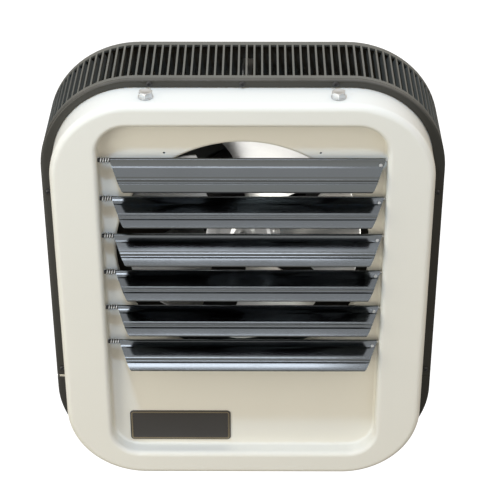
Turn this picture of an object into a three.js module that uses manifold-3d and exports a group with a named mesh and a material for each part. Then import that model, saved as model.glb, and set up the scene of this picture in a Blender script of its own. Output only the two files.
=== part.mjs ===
// Hanging fan heater: an electric unit heater with a drawn front panel, six tilting louvres, a slotted case
// that takes air in round its rim, and an axial fan behind a round outlet.
//
// Millimetres. X runs to the right as seen from the front, Y to the back, Z up. The heater is drawn about the
// middle of its front flange plane, and the last group moves it so that the origin lies between the two front
// hanger bolts, on the top wall of the front panel that they are screwed into.

import * as THREE from 'three';
import { mergeGeometries, mergeVertices } from 'three/addons/utils/BufferGeometryUtils.js';
import Module from 'manifold-3d';

const wasm = await Module();
wasm.setup();

// ---------------------------------------------------------------- driving dimensions

const seat = 0.3; // clearance between pieces that rest on, or fit in, one another

// case: the rounded box of dark sheet steel
const caseWidth = 355.6;
const caseHeight = 412.75;
const caseCorner = 86.5;
const caseSheet = 1.2;
const caseDepth = 78; // from the flange plane to the rear edge of the slotted band
const frameLip = 4.5; // how far the front frame wraps round the edge

// slotted band
const slotPitch = 6.85;
const slotWidth = 5.1;
const slotFront = 10;
const slotStrip = 6.5; // plain strip behind the slots
const slotFoot = 4.5; // from the lower end of the band up to where its lowest slot may start
const tabDepth = 5.1; // each slot's metal is bent in along one long edge as a tab this deep
const tabSheet = 1.0;
const tabRelief = 0.12; // each tab is this much shy of the slot's edge at its bend

// front panel: one drawn sheet with a recess and a round outlet
const flangeSide = 11.3; // dark flange that shows beside the panel
const flangeTop = 7.275; // and above and below it
const panelCorner = 73;
const panelSheet = 1.0;
const panelDepth = 33; // rim in front of the flange plane
const panelRimRadius = 11;
const panelFrameGap = 0.5; // slit between the panel wall and the dark flange round it
const flangeInset = 2.0; // the panel's hidden flange stops this far inside the case
const rimSide = 42; // from the panel's side to the recess
const rimTop = 21.6;
const rimBottom = 25.6;
const recessCorner = 26;
const recessDepth = 15;
const recessLipRadius = 8;
const recessFootRadius = 3.5;
const outletSideFloor = 10.5; // flat floor left beside the outlet
const outletTopFloor = 21.5; // and above it
const outletAboveSplit = 32.5; // lowest point of the outlet above the lower end of the slotted band
const outletLip = 10; // how far the outlet's edge is turned back
const outletLipRadius = 3;

// louvres
const louvreCount = 6;
const louvrePitch = 38.1;
const louvreDrop = 34.1; // topmost pivot below the top of the recess
const louvrePivotDepth = 26; // pivot in front of the flange plane
const louvreTilt = [37, 54, 45, 56, 55, 49]; // degrees from hanging straight down, lower edge forward
const louvreLength = 28.6; // pivot to lower edge
const louvreSheet = 1.2;
const louvreBulge = 1.9;
const louvreLine = 6.5; // raised line along the blade, from the pivot
const louvreLineWidth = 1.8;
const louvreLineRise = 0.55;
const louvreGroove = 19.4; // groove along the blade, from the pivot
const louvreGrooveWidth = 0.8;
const louvreGrooveDepth = 0.25;
const louvreEdge = 0.7; // taper at the lower edge
const louvreEndAngle = 20; // degrees that each end slopes in towards the lower edge
const louvreEndRound = 2; // radius of the lower corners
const louvreRightGap = 1.7; // running gap between the blade's right end and the recess wall
const beadRadius = 2.3;
const rodRadius = 1.2;
const rodReach = 4; // each rod's end past the recess wall
const springLength = 10.2;
const springRadius = 2.1; // of the coil's centre line
const springWire = 0.38; // radius of the wire
const springCurls = 4.5;

// fan and motor
const fanBlades = 5;
const fanTipGap = 7; // between the blade tips and the outlet
const fanMiddle = 16; // depth of the blade roots behind the flange plane
const fanSweep = 33; // depth that one blade covers from edge to edge
const fanCamber = 5;
const bladeAngle = 60; // degrees round the axis that one blade covers at its tip
const bladeSheet = 1.4;
const bladeRoot = 8; // how far a blade reaches in over the spider
const spiderRadius = 34;
const spiderSheet = 2;
const shaftRadius = 4;
const shaftNose = 7; // how far the shaft shows in front of the spider
const shaftSocket = 10;
const hubRadius = 9;
const hubFlange = 16.2;
const hubLength = 17;
const motorRadius = 41;
const motorFront = 42;
const motorLength = 80;
const motorShoulder = 9; // length over which each end bell narrows
const motorBoss = 12;
const bandWidth = 14; // of the strap round the motor
const bandSheet = 2;
const bandSetback = 5; // from the strap to the rear panel
const armWidth = 16;
const armReach = 8; // of the bracket's arms past the motor cover's wall
const armFoot = 12;
const motorCoverRadius = 64;
const motorCoverFlange = 10;
const coverBend = 12; // radius where the cover's wall turns into its end
const coverVents = 12;
const ventWidth = 6;
const ventFront = 16; // each vent starts this far behind the cover's flange
const ventLength = 27.5;
const overallDepth = 190.5; // front rim to the back of the motor cover

// heating elements
const elementCount = 3;
const elementRadius = 4;
const elementPitch = 22; // from one to the next, front to back
const elementFirst = 17;
const elementSideGap = 27.8; // legs inside the case's sides
const elementTopGap = 28.375; // crown below the case's top
const elementBend = 70;
const elementTail = 16; // length below the wiring partition
const clipWidth = 26;
const clipFoot = 9;

// wiring compartment and access door
const doorHeight = 101.875; // lower end of the front frame and slotted band above the case's bottom
const partitionRise = 2.5; // underside of the partition above that end
const partitionFlange = 10;
const doorGapLeft = 3.3;
const doorGapRight = 0.8;
const doorScrewX = 60;
const hingePinRadius = 1.5;
const hingeWall = 1.4;
const hingeKnuckle = 18;
const hingeSpan = 150;
const hingeLeaf = 8; // how far the door's leaves reach in over its wall
const gearHeight = 56.375; // middle of the contactor and transformer above the case's bottom
const contactorSide = 85.8; // middle of each piece of switch gear inside the case's side
const terminalSide = 89.8;
const terminalDrop = 23;
const relaySide = 77.8;
const relayDrop = 11; // top of the relay below the partition
const contactorSize = { width: 48, height: 60, depth: 42, step: 18, ledge: 10, gap: 3, pitch: 16 };
const coreSize = { width: 44, height: 36, front: 34, back: 8 };
const coilSize = { width: 26, height: 22, front: 40, back: 2 };
const coreFoot = { width: 60, height: 4, depth: 10 };
const terminalSize = { width: 54, height: 32, depth: 24, step: 12, ledge: 10 };
const terminalWays = { count: 3, pitch: 13.5, width: 10 };
const relaySize = { width: 32, height: 40, depth: 30, tabs: 3, pitch: 9, tabWidth: 6, tabLength: 7 };
const thermostat = { x: 70, depth: 30, flange: 13, radius: 9, height: 10 };

// fasteners and trim
const boltFromCorner = 12.1; // hanger bolts inwards from where the panel's corners begin
const hangerBoltDepth = 17.5; // front bolts in front of the flange plane
const rearBoltDrop = 56.375; // rear bolts below the case's top
const boltShank = 3.9;
const boltFlats = 11;
const boltHead = 5;
const boltWasher = 6.5;
const boltWasherSheet = 1.2;
const frontBoltLength = 12;
const rearBoltLength = 6;
const screwHead = 2.6;
const screwShank = 1.2;
const screwRise = 1.6;
const frameScrewLength = 4;
const coverScrewLength = 5;
const sideScrewFromCorner = 29.1; // upper side screws below where the panel's corners begin
const sideScrewAboveSplit = 7.5; // lower side screws above the frame's lower end
const topScrewFromCorner = 14;
const plateWidth = 96;
const plateHeight = 34.6;
const plateCorner = 3;
const plateSheet = 0.8;
const plateFromSide = 16; // plate's left edge from the recess's left wall
const plateFromBottom = 5.6;
const knockoutRadius = 11;
const knockoutX = 45;
const knockoutRise = 56.375; // above the case's bottom

// ---------------------------------------------------------------- finishes

const finish = (color, roughness, metalness) => () =>
  new THREE.MeshStandardMaterial({ color, roughness, metalness });
const almondPaint = finish(0xe2decf, 0.45, 0.0);
const bronzePaint = finish(0x45423b, 0.5, 0.2);
const aluminium = finish(0x8b9096, 0.32, 0.9);
const fanAluminium = finish(0xcfd0d4, 0.3, 0.9);
const zinc = finish(0xb9bcc0, 0.3, 0.9);
const galvanised = finish(0x9a9c9d, 0.45, 0.8);
const blackEnamel = finish(0x26262a, 0.5, 0.3);
const elementSteel = finish(0x6f6a64, 0.4, 0.8);
const blackPlastic = finish(0x1d1d1f, 0.5, 0.0);
const coilCopper = finish(0x8c5a35, 0.4, 0.6);

// ---------------------------------------------------------------- geometry helpers

const heater = new THREE.Group();

function addPiece(name, geometry, material, parent = heater) {
  geometry.computeVertexNormals();
  const mesh = new THREE.Mesh(geometry, material());
  mesh.name = name;
  parent.add(mesh);
  return mesh;
}

// A closed surface from flat coordinates and triangles, turned so that its faces point out.
function closedSurface(coordinates, triangles) {
  const geometry = new THREE.BufferGeometry();
  geometry.setAttribute('position', new THREE.Float32BufferAttribute(coordinates, 3));
  const corner = (k) => new THREE.Vector3().fromArray(coordinates, 3 * k);
  let volume = 0;
  for (let i = 0; i < triangles.length; i += 3) {
    const [a, b, c] = [corner(triangles[i]), corner(triangles[i + 1]), corner(triangles[i + 2])];
    volume += a.dot(b.cross(c));
  }
  geometry.setIndex(volume < 0 ? triangles.slice().reverse() : triangles);
  return geometry;
}

// Rings of equally many points, joined each to the next; the last joins the first, as in a folded sheet.
function ringSheet(rings) {
  const count = rings[0].length;
  const triangles = [];
  rings.forEach((ring, r) => {
    const next = (r + 1) % rings.length;
    for (let i = 0; i < count; i += 1) {
      const j = (i + 1) % count;
      const [a, b] = [r * count + i, r * count + j];
      const [c, d] = [next * count + i, next * count + j];
      triangles.push(a, b, d, a, d, c);
    }
  });
  return closedSurface(rings.flat(2), triangles);
}

// Rings joined one to the next, with a flat fan over the first and the last.
function ringSolid(rings) {
  const count = rings[0].length;
  const triangles = [];
  for (let r = 0; r + 1 < rings.length; r += 1) {
    for (let i = 0; i < count; i += 1) {
      const j = (i + 1) % count;
      const [a, b] = [r * count + i, r * count + j];
      const [c, d] = [a + count, b + count];
      triangles.push(a, b, d, a, d, c);
    }
  }
  const last = (rings.length - 1) * count;
  for (let i = 1; i + 1 < count; i += 1) {
    triangles.push(0, i + 1, i);
    triangles.push(last, last + i, last + i + 1);
  }
  return closedSurface(rings.flat(2), triangles);
}

function toSolid(geometry) {
  const bare = geometry.clone();
  bare.deleteAttribute('normal');
  bare.deleteAttribute('uv');
  const merged = mergeVertices(bare, 1e-4);
  return new wasm.Manifold(new wasm.Mesh({
    numProp: 3,
    vertProperties: new Float32Array(merged.attributes.position.array),
    triVerts: new Uint32Array(merged.index.array),
  }));
}

function fromSolid(solid) {
  const mesh = solid.getMesh();
  const geometry = new THREE.BufferGeometry();
  geometry.setAttribute('position', new THREE.Float32BufferAttribute(mesh.vertProperties, 3));
  geometry.setIndex(Array.from(mesh.triVerts));
  return geometry;
}

// Several bodies that don't touch, as one geometry with positions only.
function gather(pieces) {
  return mergeGeometries(pieces.map((piece) => {
    const bare = piece.index ? piece.toNonIndexed() : piece.clone();
    bare.deleteAttribute('normal');
    bare.deleteAttribute('uv');
    return bare;
  }));
}

const join = (...pieces) => fromSolid(pieces.map(toSolid).reduce((all, piece) => all.add(piece)));
const cut = (piece, ...tools) =>
  fromSolid(tools.map(toSolid).reduce((left, tool) => left.subtract(tool), toSolid(piece)));

// A rounded rectangle in the XZ plane, anticlockwise from the right. Its arcs have arcSteps chords and its
// sides sideSteps, so that outlines of different sizes match point for point.
function roundedOutline(halfWidth, top, bottom, radius, arcSteps, sideSteps) {
  const centres = [
    [halfWidth - radius, top - radius],
    [radius - halfWidth, top - radius],
    [radius - halfWidth, bottom + radius],
    [halfWidth - radius, bottom + radius],
  ];
  const corner = (c, step) => {
    const angle = (c + step / arcSteps) * Math.PI / 2;
    return [centres[c][0] + radius * Math.cos(angle), centres[c][1] + radius * Math.sin(angle)];
  };
  const points = [];
  for (let c = 0; c < 4; c += 1) {
    for (let step = 0; step <= arcSteps; step += 1) points.push(corner(c, step));
    const from = corner(c, arcSteps);
    const to = corner((c + 1) % 4, 0);
    for (let step = 1; step < sideSteps; step += 1) {
      const part = step / sideSteps;
      points.push([from[0] + (to[0] - from[0]) * part, from[1] + (to[1] - from[1]) * part]);
    }
  }
  return points;
}

const atDepth = (outline, y) => outline.map(([x, z]) => [x, y, z]);
const toShape = (outline) => new THREE.Shape(outline.map(([x, z]) => new THREE.Vector2(x, z)));

// A flat outline in the XZ plane, carried along Y from one depth to another.
function extrudeDepth(shape, near, far, curveSegments = 12) {
  const depth = far - near;
  const geometry = new THREE.ExtrudeGeometry(shape, { depth, bevelEnabled: false, curveSegments });
  geometry.rotateX(Math.PI / 2);
  geometry.translate(0, far, 0);
  return geometry;
}

// A flat outline in the YZ plane, carried along X from left to right.
function extrudeAcross(outline, left, right) {
  const shape = new THREE.Shape(outline.map(([y, z]) => new THREE.Vector2(y, z)));
  const geometry = new THREE.ExtrudeGeometry(shape, { depth: right - left, bevelEnabled: false });
  geometry.applyMatrix4(new THREE.Matrix4().makeBasis(
    new THREE.Vector3(0, 1, 0), new THREE.Vector3(0, 0, 1), new THREE.Vector3(1, 0, 0)));
  geometry.translate(left, 0, 0);
  return geometry;
}

function box(x0, x1, y0, y1, z0, z1) {
  const geometry = new THREE.BoxGeometry(x1 - x0, y1 - y0, z1 - z0);
  geometry.translate((x0 + x1) / 2, (y0 + y1) / 2, (z0 + z1) / 2);
  return geometry;
}

// A profile of [radius, distance] pairs turned about an axis through a point.
function turned(profile, segments, point, direction) {
  const geometry = new THREE.LatheGeometry(profile.map(([r, h]) => new THREE.Vector2(r, h)), segments);
  geometry.deleteAttribute('normal');
  geometry.deleteAttribute('uv');
  const merged = mergeVertices(geometry, 1e-4);
  const turn = new THREE.Quaternion().setFromUnitVectors(new THREE.Vector3(0, 1, 0), direction);
  merged.applyQuaternion(turn);
  merged.translate(point.x, point.y, point.z);
  const bare = merged.index.array;
  const kept = [];
  for (let i = 0; i < bare.length; i += 3) {
    const [a, b, c] = [bare[i], bare[i + 1], bare[i + 2]];
    if (a !== b && b !== c && a !== c) kept.push(a, b, c);
  }
  return closedSurface(Array.from(merged.attributes.position.array), kept);
}

const rod = (radius, length, segments, point, direction) =>
  turned([[0, 0], [radius, 0], [radius, length], [0, length]], segments, point, direction);

// A round wire along a list of points, with one frame carried along it, and flat ends.
function sweptWire(points, radius, sides) {
  const tangents = points.map((point, i) => {
    const before = points[Math.max(i - 1, 0)];
    const after = points[Math.min(i + 1, points.length - 1)];
    return after.clone().sub(before).normalize();
  });
  const normal = new THREE.Vector3(0, 0, 1).cross(tangents[0]);
  if (normal.length() < 0.1) normal.set(0, 1, 0);
  normal.normalize();
  const rings = points.map((point, i) => {
    normal.addScaledVector(tangents[i], -normal.dot(tangents[i])).normalize();
    const side = tangents[i].clone().cross(normal);
    return Array.from({ length: sides }, (_, k) => {
      const angle = 2 * Math.PI * k / sides;
      return point.clone()
        .addScaledVector(normal, radius * Math.cos(angle))
        .addScaledVector(side, radius * Math.sin(angle))
        .toArray();
    });
  });
  return ringSolid(rings);
}

const front = new THREE.Vector3(0, -1, 0);
const back = new THREE.Vector3(0, 1, 0);
const right = new THREE.Vector3(1, 0, 0);
const up = new THREE.Vector3(0, 0, 1);
const down = new THREE.Vector3(0, 0, -1);
const at = (x, y, z) => new THREE.Vector3(x, y, z);

// ---------------------------------------------------------------- outlines that the sheets share

const caseTop = caseHeight / 2;
const caseSide = caseWidth / 2;
const panelTop = caseTop - flangeTop;
const panelSide = caseSide - flangeSide;
const recessSide = panelSide - rimSide;
const recessTop = panelTop - rimTop;
const recessBottom = rimBottom - panelTop;
const splitHeight = doorHeight - caseTop; // lower end of the front frame and slotted band
const cornerX = caseSide - caseCorner;
const cornerZ = caseTop - caseCorner;
const frameArcs = 10;
const frameSides = 1;
const panelArcs = 7;
const panelSides = 2;

const caseOutline = (inset, arcs, sides) =>
  roundedOutline(caseSide - inset, caseTop - inset, inset - caseTop, caseCorner - inset, arcs, sides);
const panelOutline = (inset, arcs, sides) =>
  roundedOutline(panelSide - inset, panelTop - inset, inset - panelTop, panelCorner - inset, arcs, sides);
const recessOutline = (inset, arcs, sides) =>
  roundedOutline(recessSide - inset, recessTop - inset, recessBottom + inset,
    recessCorner - inset, arcs, sides);

// The outlet is the largest circle that leaves the floor round it, midway between its upper and lower limits.
const outletHighest = recessTop - outletTopFloor;
const outletLowest = splitHeight + outletAboveSplit;
const outletRadius = Math.min(recessSide - outletSideFloor, (outletHighest - outletLowest) / 2);
const outletHeight = (outletHighest + outletLowest) / 2;

// A circle about the fan axis whose points match those of a rounded outline.
function outletOutline(radius, arcSteps, sideSteps) {
  const quarter = arcSteps + sideSteps;
  return Array.from({ length: 4 * quarter }, (_, i) => {
    const angle = (Math.floor(i / quarter) + 0.5 + (i % quarter - arcSteps / 2) / quarter) * Math.PI / 2;
    return [radius * Math.cos(angle), outletHeight + radius * Math.sin(angle)];
  });
}

// ---------------------------------------------------------------- places that pieces share

const rimDepth = -panelDepth;
const floorDepth = recessDepth - panelDepth;
const pivotY = -louvrePivotDepth;
const pivotHeights = Array.from({ length: louvreCount }, (_, k) => recessTop - louvreDrop - k * louvrePitch);
const fanRadius = outletRadius - fanTipGap;
const elementSide = caseSide - elementSideGap;
const elementTop = caseTop - elementTopGap;
const partitionHeight = splitHeight + partitionRise; // underside of the wiring partition
const rearFace = caseDepth;
const slotRear = caseDepth - slotStrip;
const rearSheetFront = rearFace - caseSheet;
const hingeY = rearFace + hingePinRadius + hingeWall + 2 * seat;
const hingeZ = caseSheet + seat + hingePinRadius - caseTop;
const flangeScrewX = (caseSide + panelSide + panelFrameGap) / 2;
const flangeScrewZ = (caseTop + panelTop + panelFrameGap) / 2;
const straightSide = panelTop - panelCorner; // the panel's corners begin at these distances from its middle
const straightTop = panelSide - panelCorner;
const upperScrewZ = straightSide - sideScrewFromCorner;
const lowerScrewZ = splitHeight + sideScrewAboveSplit;
const topScrewX = straightTop - topScrewFromCorner;
const hangerBoltX = straightTop - boltFromCorner;
const screwPlaces = {
  left_upper: [-flangeScrewX, upperScrewZ],
  left_lower: [-flangeScrewX, lowerScrewZ],
  right_upper: [flangeScrewX, upperScrewZ],
  right_lower: [flangeScrewX, lowerScrewZ],
  top_left: [-topScrewX, flangeScrewZ],
  top_middle: [0, flangeScrewZ],
  top_right: [topScrewX, flangeScrewZ],
};
const coverScrewRing = motorCoverRadius + motorCoverFlange / 2;
const coverScrewPlaces = [[-coverScrewRing, outletHeight], [coverScrewRing, outletHeight]];
const elementDepths = Array.from({ length: elementCount }, (_, k) => elementFirst + k * elementPitch);

// ---------------------------------------------------------------- front panel

// One sheet, described by the rings of its shown side. Each ring has an outline, an inset, a depth and the
// direction, across the outline and in depth, in which the sheet's own thickness lies.
function frontPanel() {
  const outlet = (inset, arcs, sides) => outletOutline(outletRadius - inset, arcs, sides);
  const half = Math.SQRT1_2;
  const rings = [
    [caseOutline, flangeInset, caseSheet + seat, 0, 1],
    [panelOutline, 0, caseSheet + seat, 1, 1],
    [panelOutline, 0, rimDepth + panelRimRadius, 1, 0],
    [panelOutline, panelRimRadius * (1 - half), rimDepth + panelRimRadius * (1 - half), half, half],
    [panelOutline, panelRimRadius, rimDepth, 0, 1],
    [recessOutline, -recessLipRadius, rimDepth, 0, 1],
    [recessOutline, recessLipRadius * (half - 1), rimDepth + recessLipRadius * (1 - half), -half, half],
    [recessOutline, 0, rimDepth + recessLipRadius, -1, 0],
    [recessOutline, 0, floorDepth - recessFootRadius, -1, 0],
    [recessOutline, recessFootRadius * (1 - half), floorDepth - recessFootRadius * (1 - half), -half, half],
    [recessOutline, recessFootRadius, floorDepth, 0, 1],
    [outlet, -outletLipRadius, floorDepth, 0, 1],
    [outlet, outletLipRadius * (half - 1), floorDepth + outletLipRadius * (1 - half), -half, half],
    [outlet, 0, floorDepth + outletLip, -1, 0],
  ];
  const shown = rings.map(([outline, inset, y]) => atDepth(outline(inset, panelArcs, panelSides), y));
  const hidden = rings.map(([outline, inset, y, across, deep]) =>
    atDepth(outline(inset + panelSheet * across, panelArcs, panelSides), y + panelSheet * deep));
  const sheet = ringSheet([...shown, ...hidden.reverse()]);

  const rodHoles = pivotHeights.flatMap((z) => [-1, 1].map((side) =>
    rod(rodRadius + seat, 12, 8, at(side * recessSide - 6, pivotY, z), right)));
  const screwHoles = Object.values(screwPlaces).map(([x, z]) =>
    rod(screwShank + seat, 6, 6, at(x, -1, z), back));
  const boltHoles = [-hangerBoltX, hangerBoltX].map((x) =>
    rod(boltShank + seat, 6, 10, at(x, -hangerBoltDepth, panelTop + 3), down));
  return cut(sheet, gather([...rodHoles, ...screwHoles, ...boltHoles]));
}

// ---------------------------------------------------------------- case: frame, slotted band and door

// The dark flange round the panel and the wall that turns back from its edge, as one closed loop of sheet.
function flangeAndWall(rearEdge) {
  const inner = -panelFrameGap;
  return ringSheet([
    atDepth(panelOutline(inner, frameArcs, frameSides), 0),
    atDepth(caseOutline(0, frameArcs, frameSides), 0),
    atDepth(caseOutline(0, frameArcs, frameSides), rearEdge),
    atDepth(caseOutline(caseSheet, frameArcs, frameSides), rearEdge),
    atDepth(caseOutline(caseSheet, frameArcs, frameSides), caseSheet),
    atDepth(panelOutline(inner, frameArcs, frameSides), caseSheet),
  ]);
}

const beyond = caseWidth; // a cutting block reaches this far past what it cuts
const blockBelow = (z) => box(-beyond, beyond, -beyond, beyond, -beyond * 2, z);

function frontFrame() {
  const holes = Object.values(screwPlaces).map(([x, z]) => rod(screwShank + seat, 6, 6, at(x, -2, z), back));
  return cut(flangeAndWall(frameLip), blockBelow(splitHeight), gather(holes));
}

// The middle, outward direction and clockwise direction of every slot, from the right foot over the top.
function slotCells() {
  const cells = [];
  const sideCount = Math.floor((cornerZ - splitHeight - slotFoot) / slotPitch);
  const topCount = Math.round(2 * cornerX / slotPitch);
  const cornerCount = Math.round(caseCorner * Math.PI / 2 / slotPitch);
  const sideHeight = (i) => cornerZ - (i + 0.5) * slotPitch;
  for (let i = 0; i < sideCount; i += 1) {
    cells.push({ x: caseSide, z: sideHeight(i), out: [1, 0] });
    cells.push({ x: -caseSide, z: sideHeight(i), out: [-1, 0] });
  }
  for (let i = 0; i < topCount; i += 1) {
    cells.push({ x: cornerX * (2 * (i + 0.5) / topCount - 1), z: caseTop, out: [0, 1] });
  }
  const chordMiddle = caseCorner * Math.cos(Math.PI / 4 / cornerCount);
  for (let i = 0; i < 2 * cornerCount; i += 1) {
    const angle = (i + 0.5) / cornerCount * Math.PI / 2;
    const out = [Math.cos(angle), Math.sin(angle)];
    const centre = i < cornerCount ? cornerX : -cornerX;
    cells.push({ x: centre + chordMiddle * out[0], z: cornerZ + chordMiddle * out[1], out });
  }
  return { cells, cornerCount };
}

// A block at a slot: along the case clockwise from u0 to u1, outward from v0 to v1.
function slotBlock({ x, z, out }, u0, u1, v0, v1, y0, y1) {
  const geometry = box(u0, u1, y0, y1, v0, v1);
  const clockwise = at(out[1], 0, -out[0]);
  geometry.applyMatrix4(new THREE.Matrix4().makeBasis(clockwise, back, at(out[0], 0, out[1])));
  geometry.translate(x, 0, z);
  return geometry;
}

function slottedBand() {
  const { cells, cornerCount } = slotCells();
  const bandFront = frameLip + seat;
  const wall = ringSheet([
    atDepth(caseOutline(0, cornerCount, 1), bandFront),
    atDepth(caseOutline(0, cornerCount, 1), caseDepth),
    atDepth(caseOutline(caseSheet, cornerCount, 1), caseDepth),
    atDepth(caseOutline(caseSheet, cornerCount, 1), bandFront),
  ]);
  const halfSlot = slotWidth / 2;
  const slots = cells.map((cell) =>
    slotBlock(cell, -halfSlot, halfSlot, -3 * caseSheet, caseSheet, slotFront, slotRear));
  const tabs = cells.map((cell) => slotBlock(cell, halfSlot + tabRelief, halfSlot + tabRelief + tabSheet,
    -caseSheet - tabDepth, -caseSheet / 2, slotFront + 4 * tabRelief, slotRear - 4 * tabRelief));
  const slotted = toSolid(wall).subtract(toSolid(gather(slots)));
  const tabbed = tabs.map(toSolid).reduce((band, tab) => band.add(tab), slotted);
  return fromSolid(tabbed.subtract(toSolid(blockBelow(splitHeight))));
}

// A hinge knuckle round the pin, between two places across, with a leaf that joins it to what it turns on.
function knuckle(left, leaf) {
  const outer = hingePinRadius + seat + hingeWall;
  const ring = turned([
    [hingePinRadius + seat, 0], [outer, 0], [outer, hingeKnuckle], [hingePinRadius + seat, hingeKnuckle],
    [hingePinRadius + seat, 0],
  ], 12, at(left, hingeY, hingeZ), right);
  return join(ring, leaf(left, left + hingeKnuckle));
}

// The knuckles share the span of the pin by turns: the case has the outer two, the door the two beside them.
const caseKnuckles = [-hingeSpan / 2, hingeSpan / 2 - hingeKnuckle];
const doorKnuckles = caseKnuckles.map((x) => x - Math.sign(x) * (hingeKnuckle + seat));
const doorScrewDepth = caseDepth / 2;

function accessDoor() {
  const shell = cut(
    flangeAndWall(caseDepth - seat),
    box(-beyond, 0, -beyond, beyond, splitHeight - doorGapLeft, beyond * 2),
    box(-1, beyond, -beyond, beyond, splitHeight - doorGapRight, beyond * 2),
    gather([-doorScrewX, doorScrewX].map((x) =>
      rod(screwShank + seat, 6, 8, at(x, doorScrewDepth, -caseTop - 3), up))),
  );
  const leaf = (x0, x1) =>
    box(x0, x1, caseDepth - hingeLeaf, hingeY, -caseTop, hingeZ - hingePinRadius - seat - hingeWall / 4);
  return doorKnuckles.reduce((door, x) => join(door, knuckle(x, leaf)), shell);
}

// ---------------------------------------------------------------- rear panel and motor cover

function rearPanel() {
  const edge = caseSheet + seat;
  const inner = edge + caseSheet;
  const lipFront = slotRear + seat;
  const holeRadius = motorCoverRadius - motorCoverFlange / 2;
  const hole = (y) => atDepth(outletOutline(holeRadius, frameArcs, frameSides), y);
  const sheet = ringSheet([
    atDepth(caseOutline(edge, frameArcs, frameSides), lipFront),
    atDepth(caseOutline(edge, frameArcs, frameSides), rearFace),
    hole(rearFace),
    hole(rearSheetFront),
    atDepth(caseOutline(inner, frameArcs, frameSides), rearSheetFront),
    atDepth(caseOutline(inner, frameArcs, frameSides), lipFront),
  ]);
  const through = (radius, x, z, sides) => rod(radius, 6, sides, at(x, rearFace - 3, z), back);
  const holes = [
    ...[-knockoutX, knockoutX].map((x) => through(knockoutRadius, x, knockoutRise - caseTop, 16)),
    ...[-hangerBoltX, hangerBoltX].map((x) => through(boltShank + seat, x, caseTop - rearBoltDrop, 10)),
    ...coverScrewPlaces.map(([x, z]) => through(screwShank + seat, x, z, 6)),
  ];
  const leaf = (x0, x1) => {
    const top = hingeZ + hingePinRadius + seat + hingeWall;
    return box(x0, x1, rearSheetFront, hingeY, top - hingeWall, top);
  };
  return caseKnuckles.reduce((panel, x) => join(panel, knuckle(x, leaf)), cut(sheet, gather(holes)));
}

// A drawn cover over the back of the motor, with a row of vents in its wall.
function motorCover() {
  const end = overallDepth - panelDepth - rearFace - seat;
  const half = 1 - Math.SQRT1_2;
  const inside = caseSheet * Math.SQRT1_2;
  const outer = [
    [motorCoverRadius + motorCoverFlange, 0],
    [motorCoverRadius + motorCoverFlange, caseSheet],
    [motorCoverRadius, caseSheet],
    [motorCoverRadius, end - coverBend],
    [motorCoverRadius - coverBend * half, end - coverBend * half],
    [motorCoverRadius - coverBend, end],
    [0, end],
  ];
  const inner = [
    [0, end - caseSheet],
    [motorCoverRadius - coverBend, end - caseSheet],
    [motorCoverRadius - coverBend * half - inside, end - coverBend * half - inside],
    [motorCoverRadius - caseSheet, end - coverBend],
    [motorCoverRadius - caseSheet, 0],
    [motorCoverRadius + motorCoverFlange, 0],
  ];
  const shell = turned([...outer, ...inner], 24, at(0, rearFace + seat, outletHeight), back);
  const vents = Array.from({ length: coverVents }, (_, i) => {
    const vent = box(motorCoverRadius - 3 * caseSheet, motorCoverRadius + 3 * caseSheet,
      rearFace + ventFront, rearFace + ventFront + ventLength, -ventWidth / 2, ventWidth / 2);
    vent.rotateY((i + 0.5) * 2 * Math.PI / coverVents);
    vent.translate(0, 0, outletHeight);
    return vent;
  });
  const screws = coverScrewPlaces.map(([x, z]) => rod(screwShank + seat, 6, 6, at(x, rearFace - 1, z), back));
  return cut(shell, gather([...vents, ...screws]));
}

// ---------------------------------------------------------------- fasteners

// A small pan-headed screw: its head stands off the sheet that it holds by the seat clearance.
function panScrew(point, outward, length) {
  const profile = [
    [0, -length], [screwShank, -length], [screwShank, seat], [screwHead, seat],
    [screwHead, seat + screwRise * 0.5], [screwHead * 0.6, seat + screwRise], [0, seat + screwRise],
  ];
  return turned(profile, 8, point, outward);
}

// A hexagon bolt with a washer under its head.
function hangerBolt(point, outward, length) {
  const shank = turned([
    [0, -length], [boltShank, -length], [boltShank, seat], [boltWasher, seat],
    [boltWasher, seat + boltWasherSheet], [0, seat + boltWasherSheet],
  ], 12, point, outward);
  const headFoot = point.clone().addScaledVector(outward, seat + boltWasherSheet / 2);
  const head = rod(boltFlats / Math.sqrt(3), boltHead, 6, headFoot, outward);
  return join(shank, head);
}

// ---------------------------------------------------------------- louvres

const centreLift = (u) => louvreBulge * 4 * (u / louvreLength) * (1 - u / louvreLength);

// The section of the extruded blade. u runs from the pivot to the lower edge and v to the shown face. The
// bead is a C that holds the rod, and the shown face has a raised line, a groove and a flat lower band.
function bladeSection() {
  const skin = louvreSheet / 2;
  const line = louvreLineWidth / 2;
  const groove = louvreGrooveWidth / 2;
  const neck = beadRadius + louvreLineRise / 2;
  const shownFace = [
    [louvreLength, 0.1], [louvreLength - louvreEdge, skin], [louvreGroove + 3 * groove, skin + 0.1],
    [louvreGroove + groove, skin - louvreGrooveDepth], [louvreGroove - groove, skin - louvreGrooveDepth],
    [louvreGroove - 3 * groove, skin + 0.1], [(louvreGroove + louvreLine) / 2, skin],
    [louvreLine + line, skin], [louvreLine, skin + louvreLineRise], [louvreLine - line, skin],
    [neck + line, skin], [neck, skin + louvreLineRise],
  ].map(([u, rise]) => [u, centreLift(u) + rise]);
  const arc = (radius, angles) => angles.map((degrees) => {
    const angle = THREE.MathUtils.degToRad(degrees);
    return [radius * Math.cos(angle), radius * Math.sin(angle)];
  });
  const bead = arc(beadRadius, [62, 95, 130, 165, 200, 235, 270, 295]);
  const bore = arc(rodRadius + seat, [295, 255, 210, 165, 120, 75, 30, -15]);
  const [top, low] = [beadRadius + louvreEdge, louvreLength - louvreEdge];
  const backFace = [top, (3 * top + low) / 4, (top + low) / 2, (top + 3 * low) / 4, low]
    .map((u) => [u, centreLift(u) - skin]);
  return [...shownFace, ...bead, ...bore, ...backFace];
}

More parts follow.
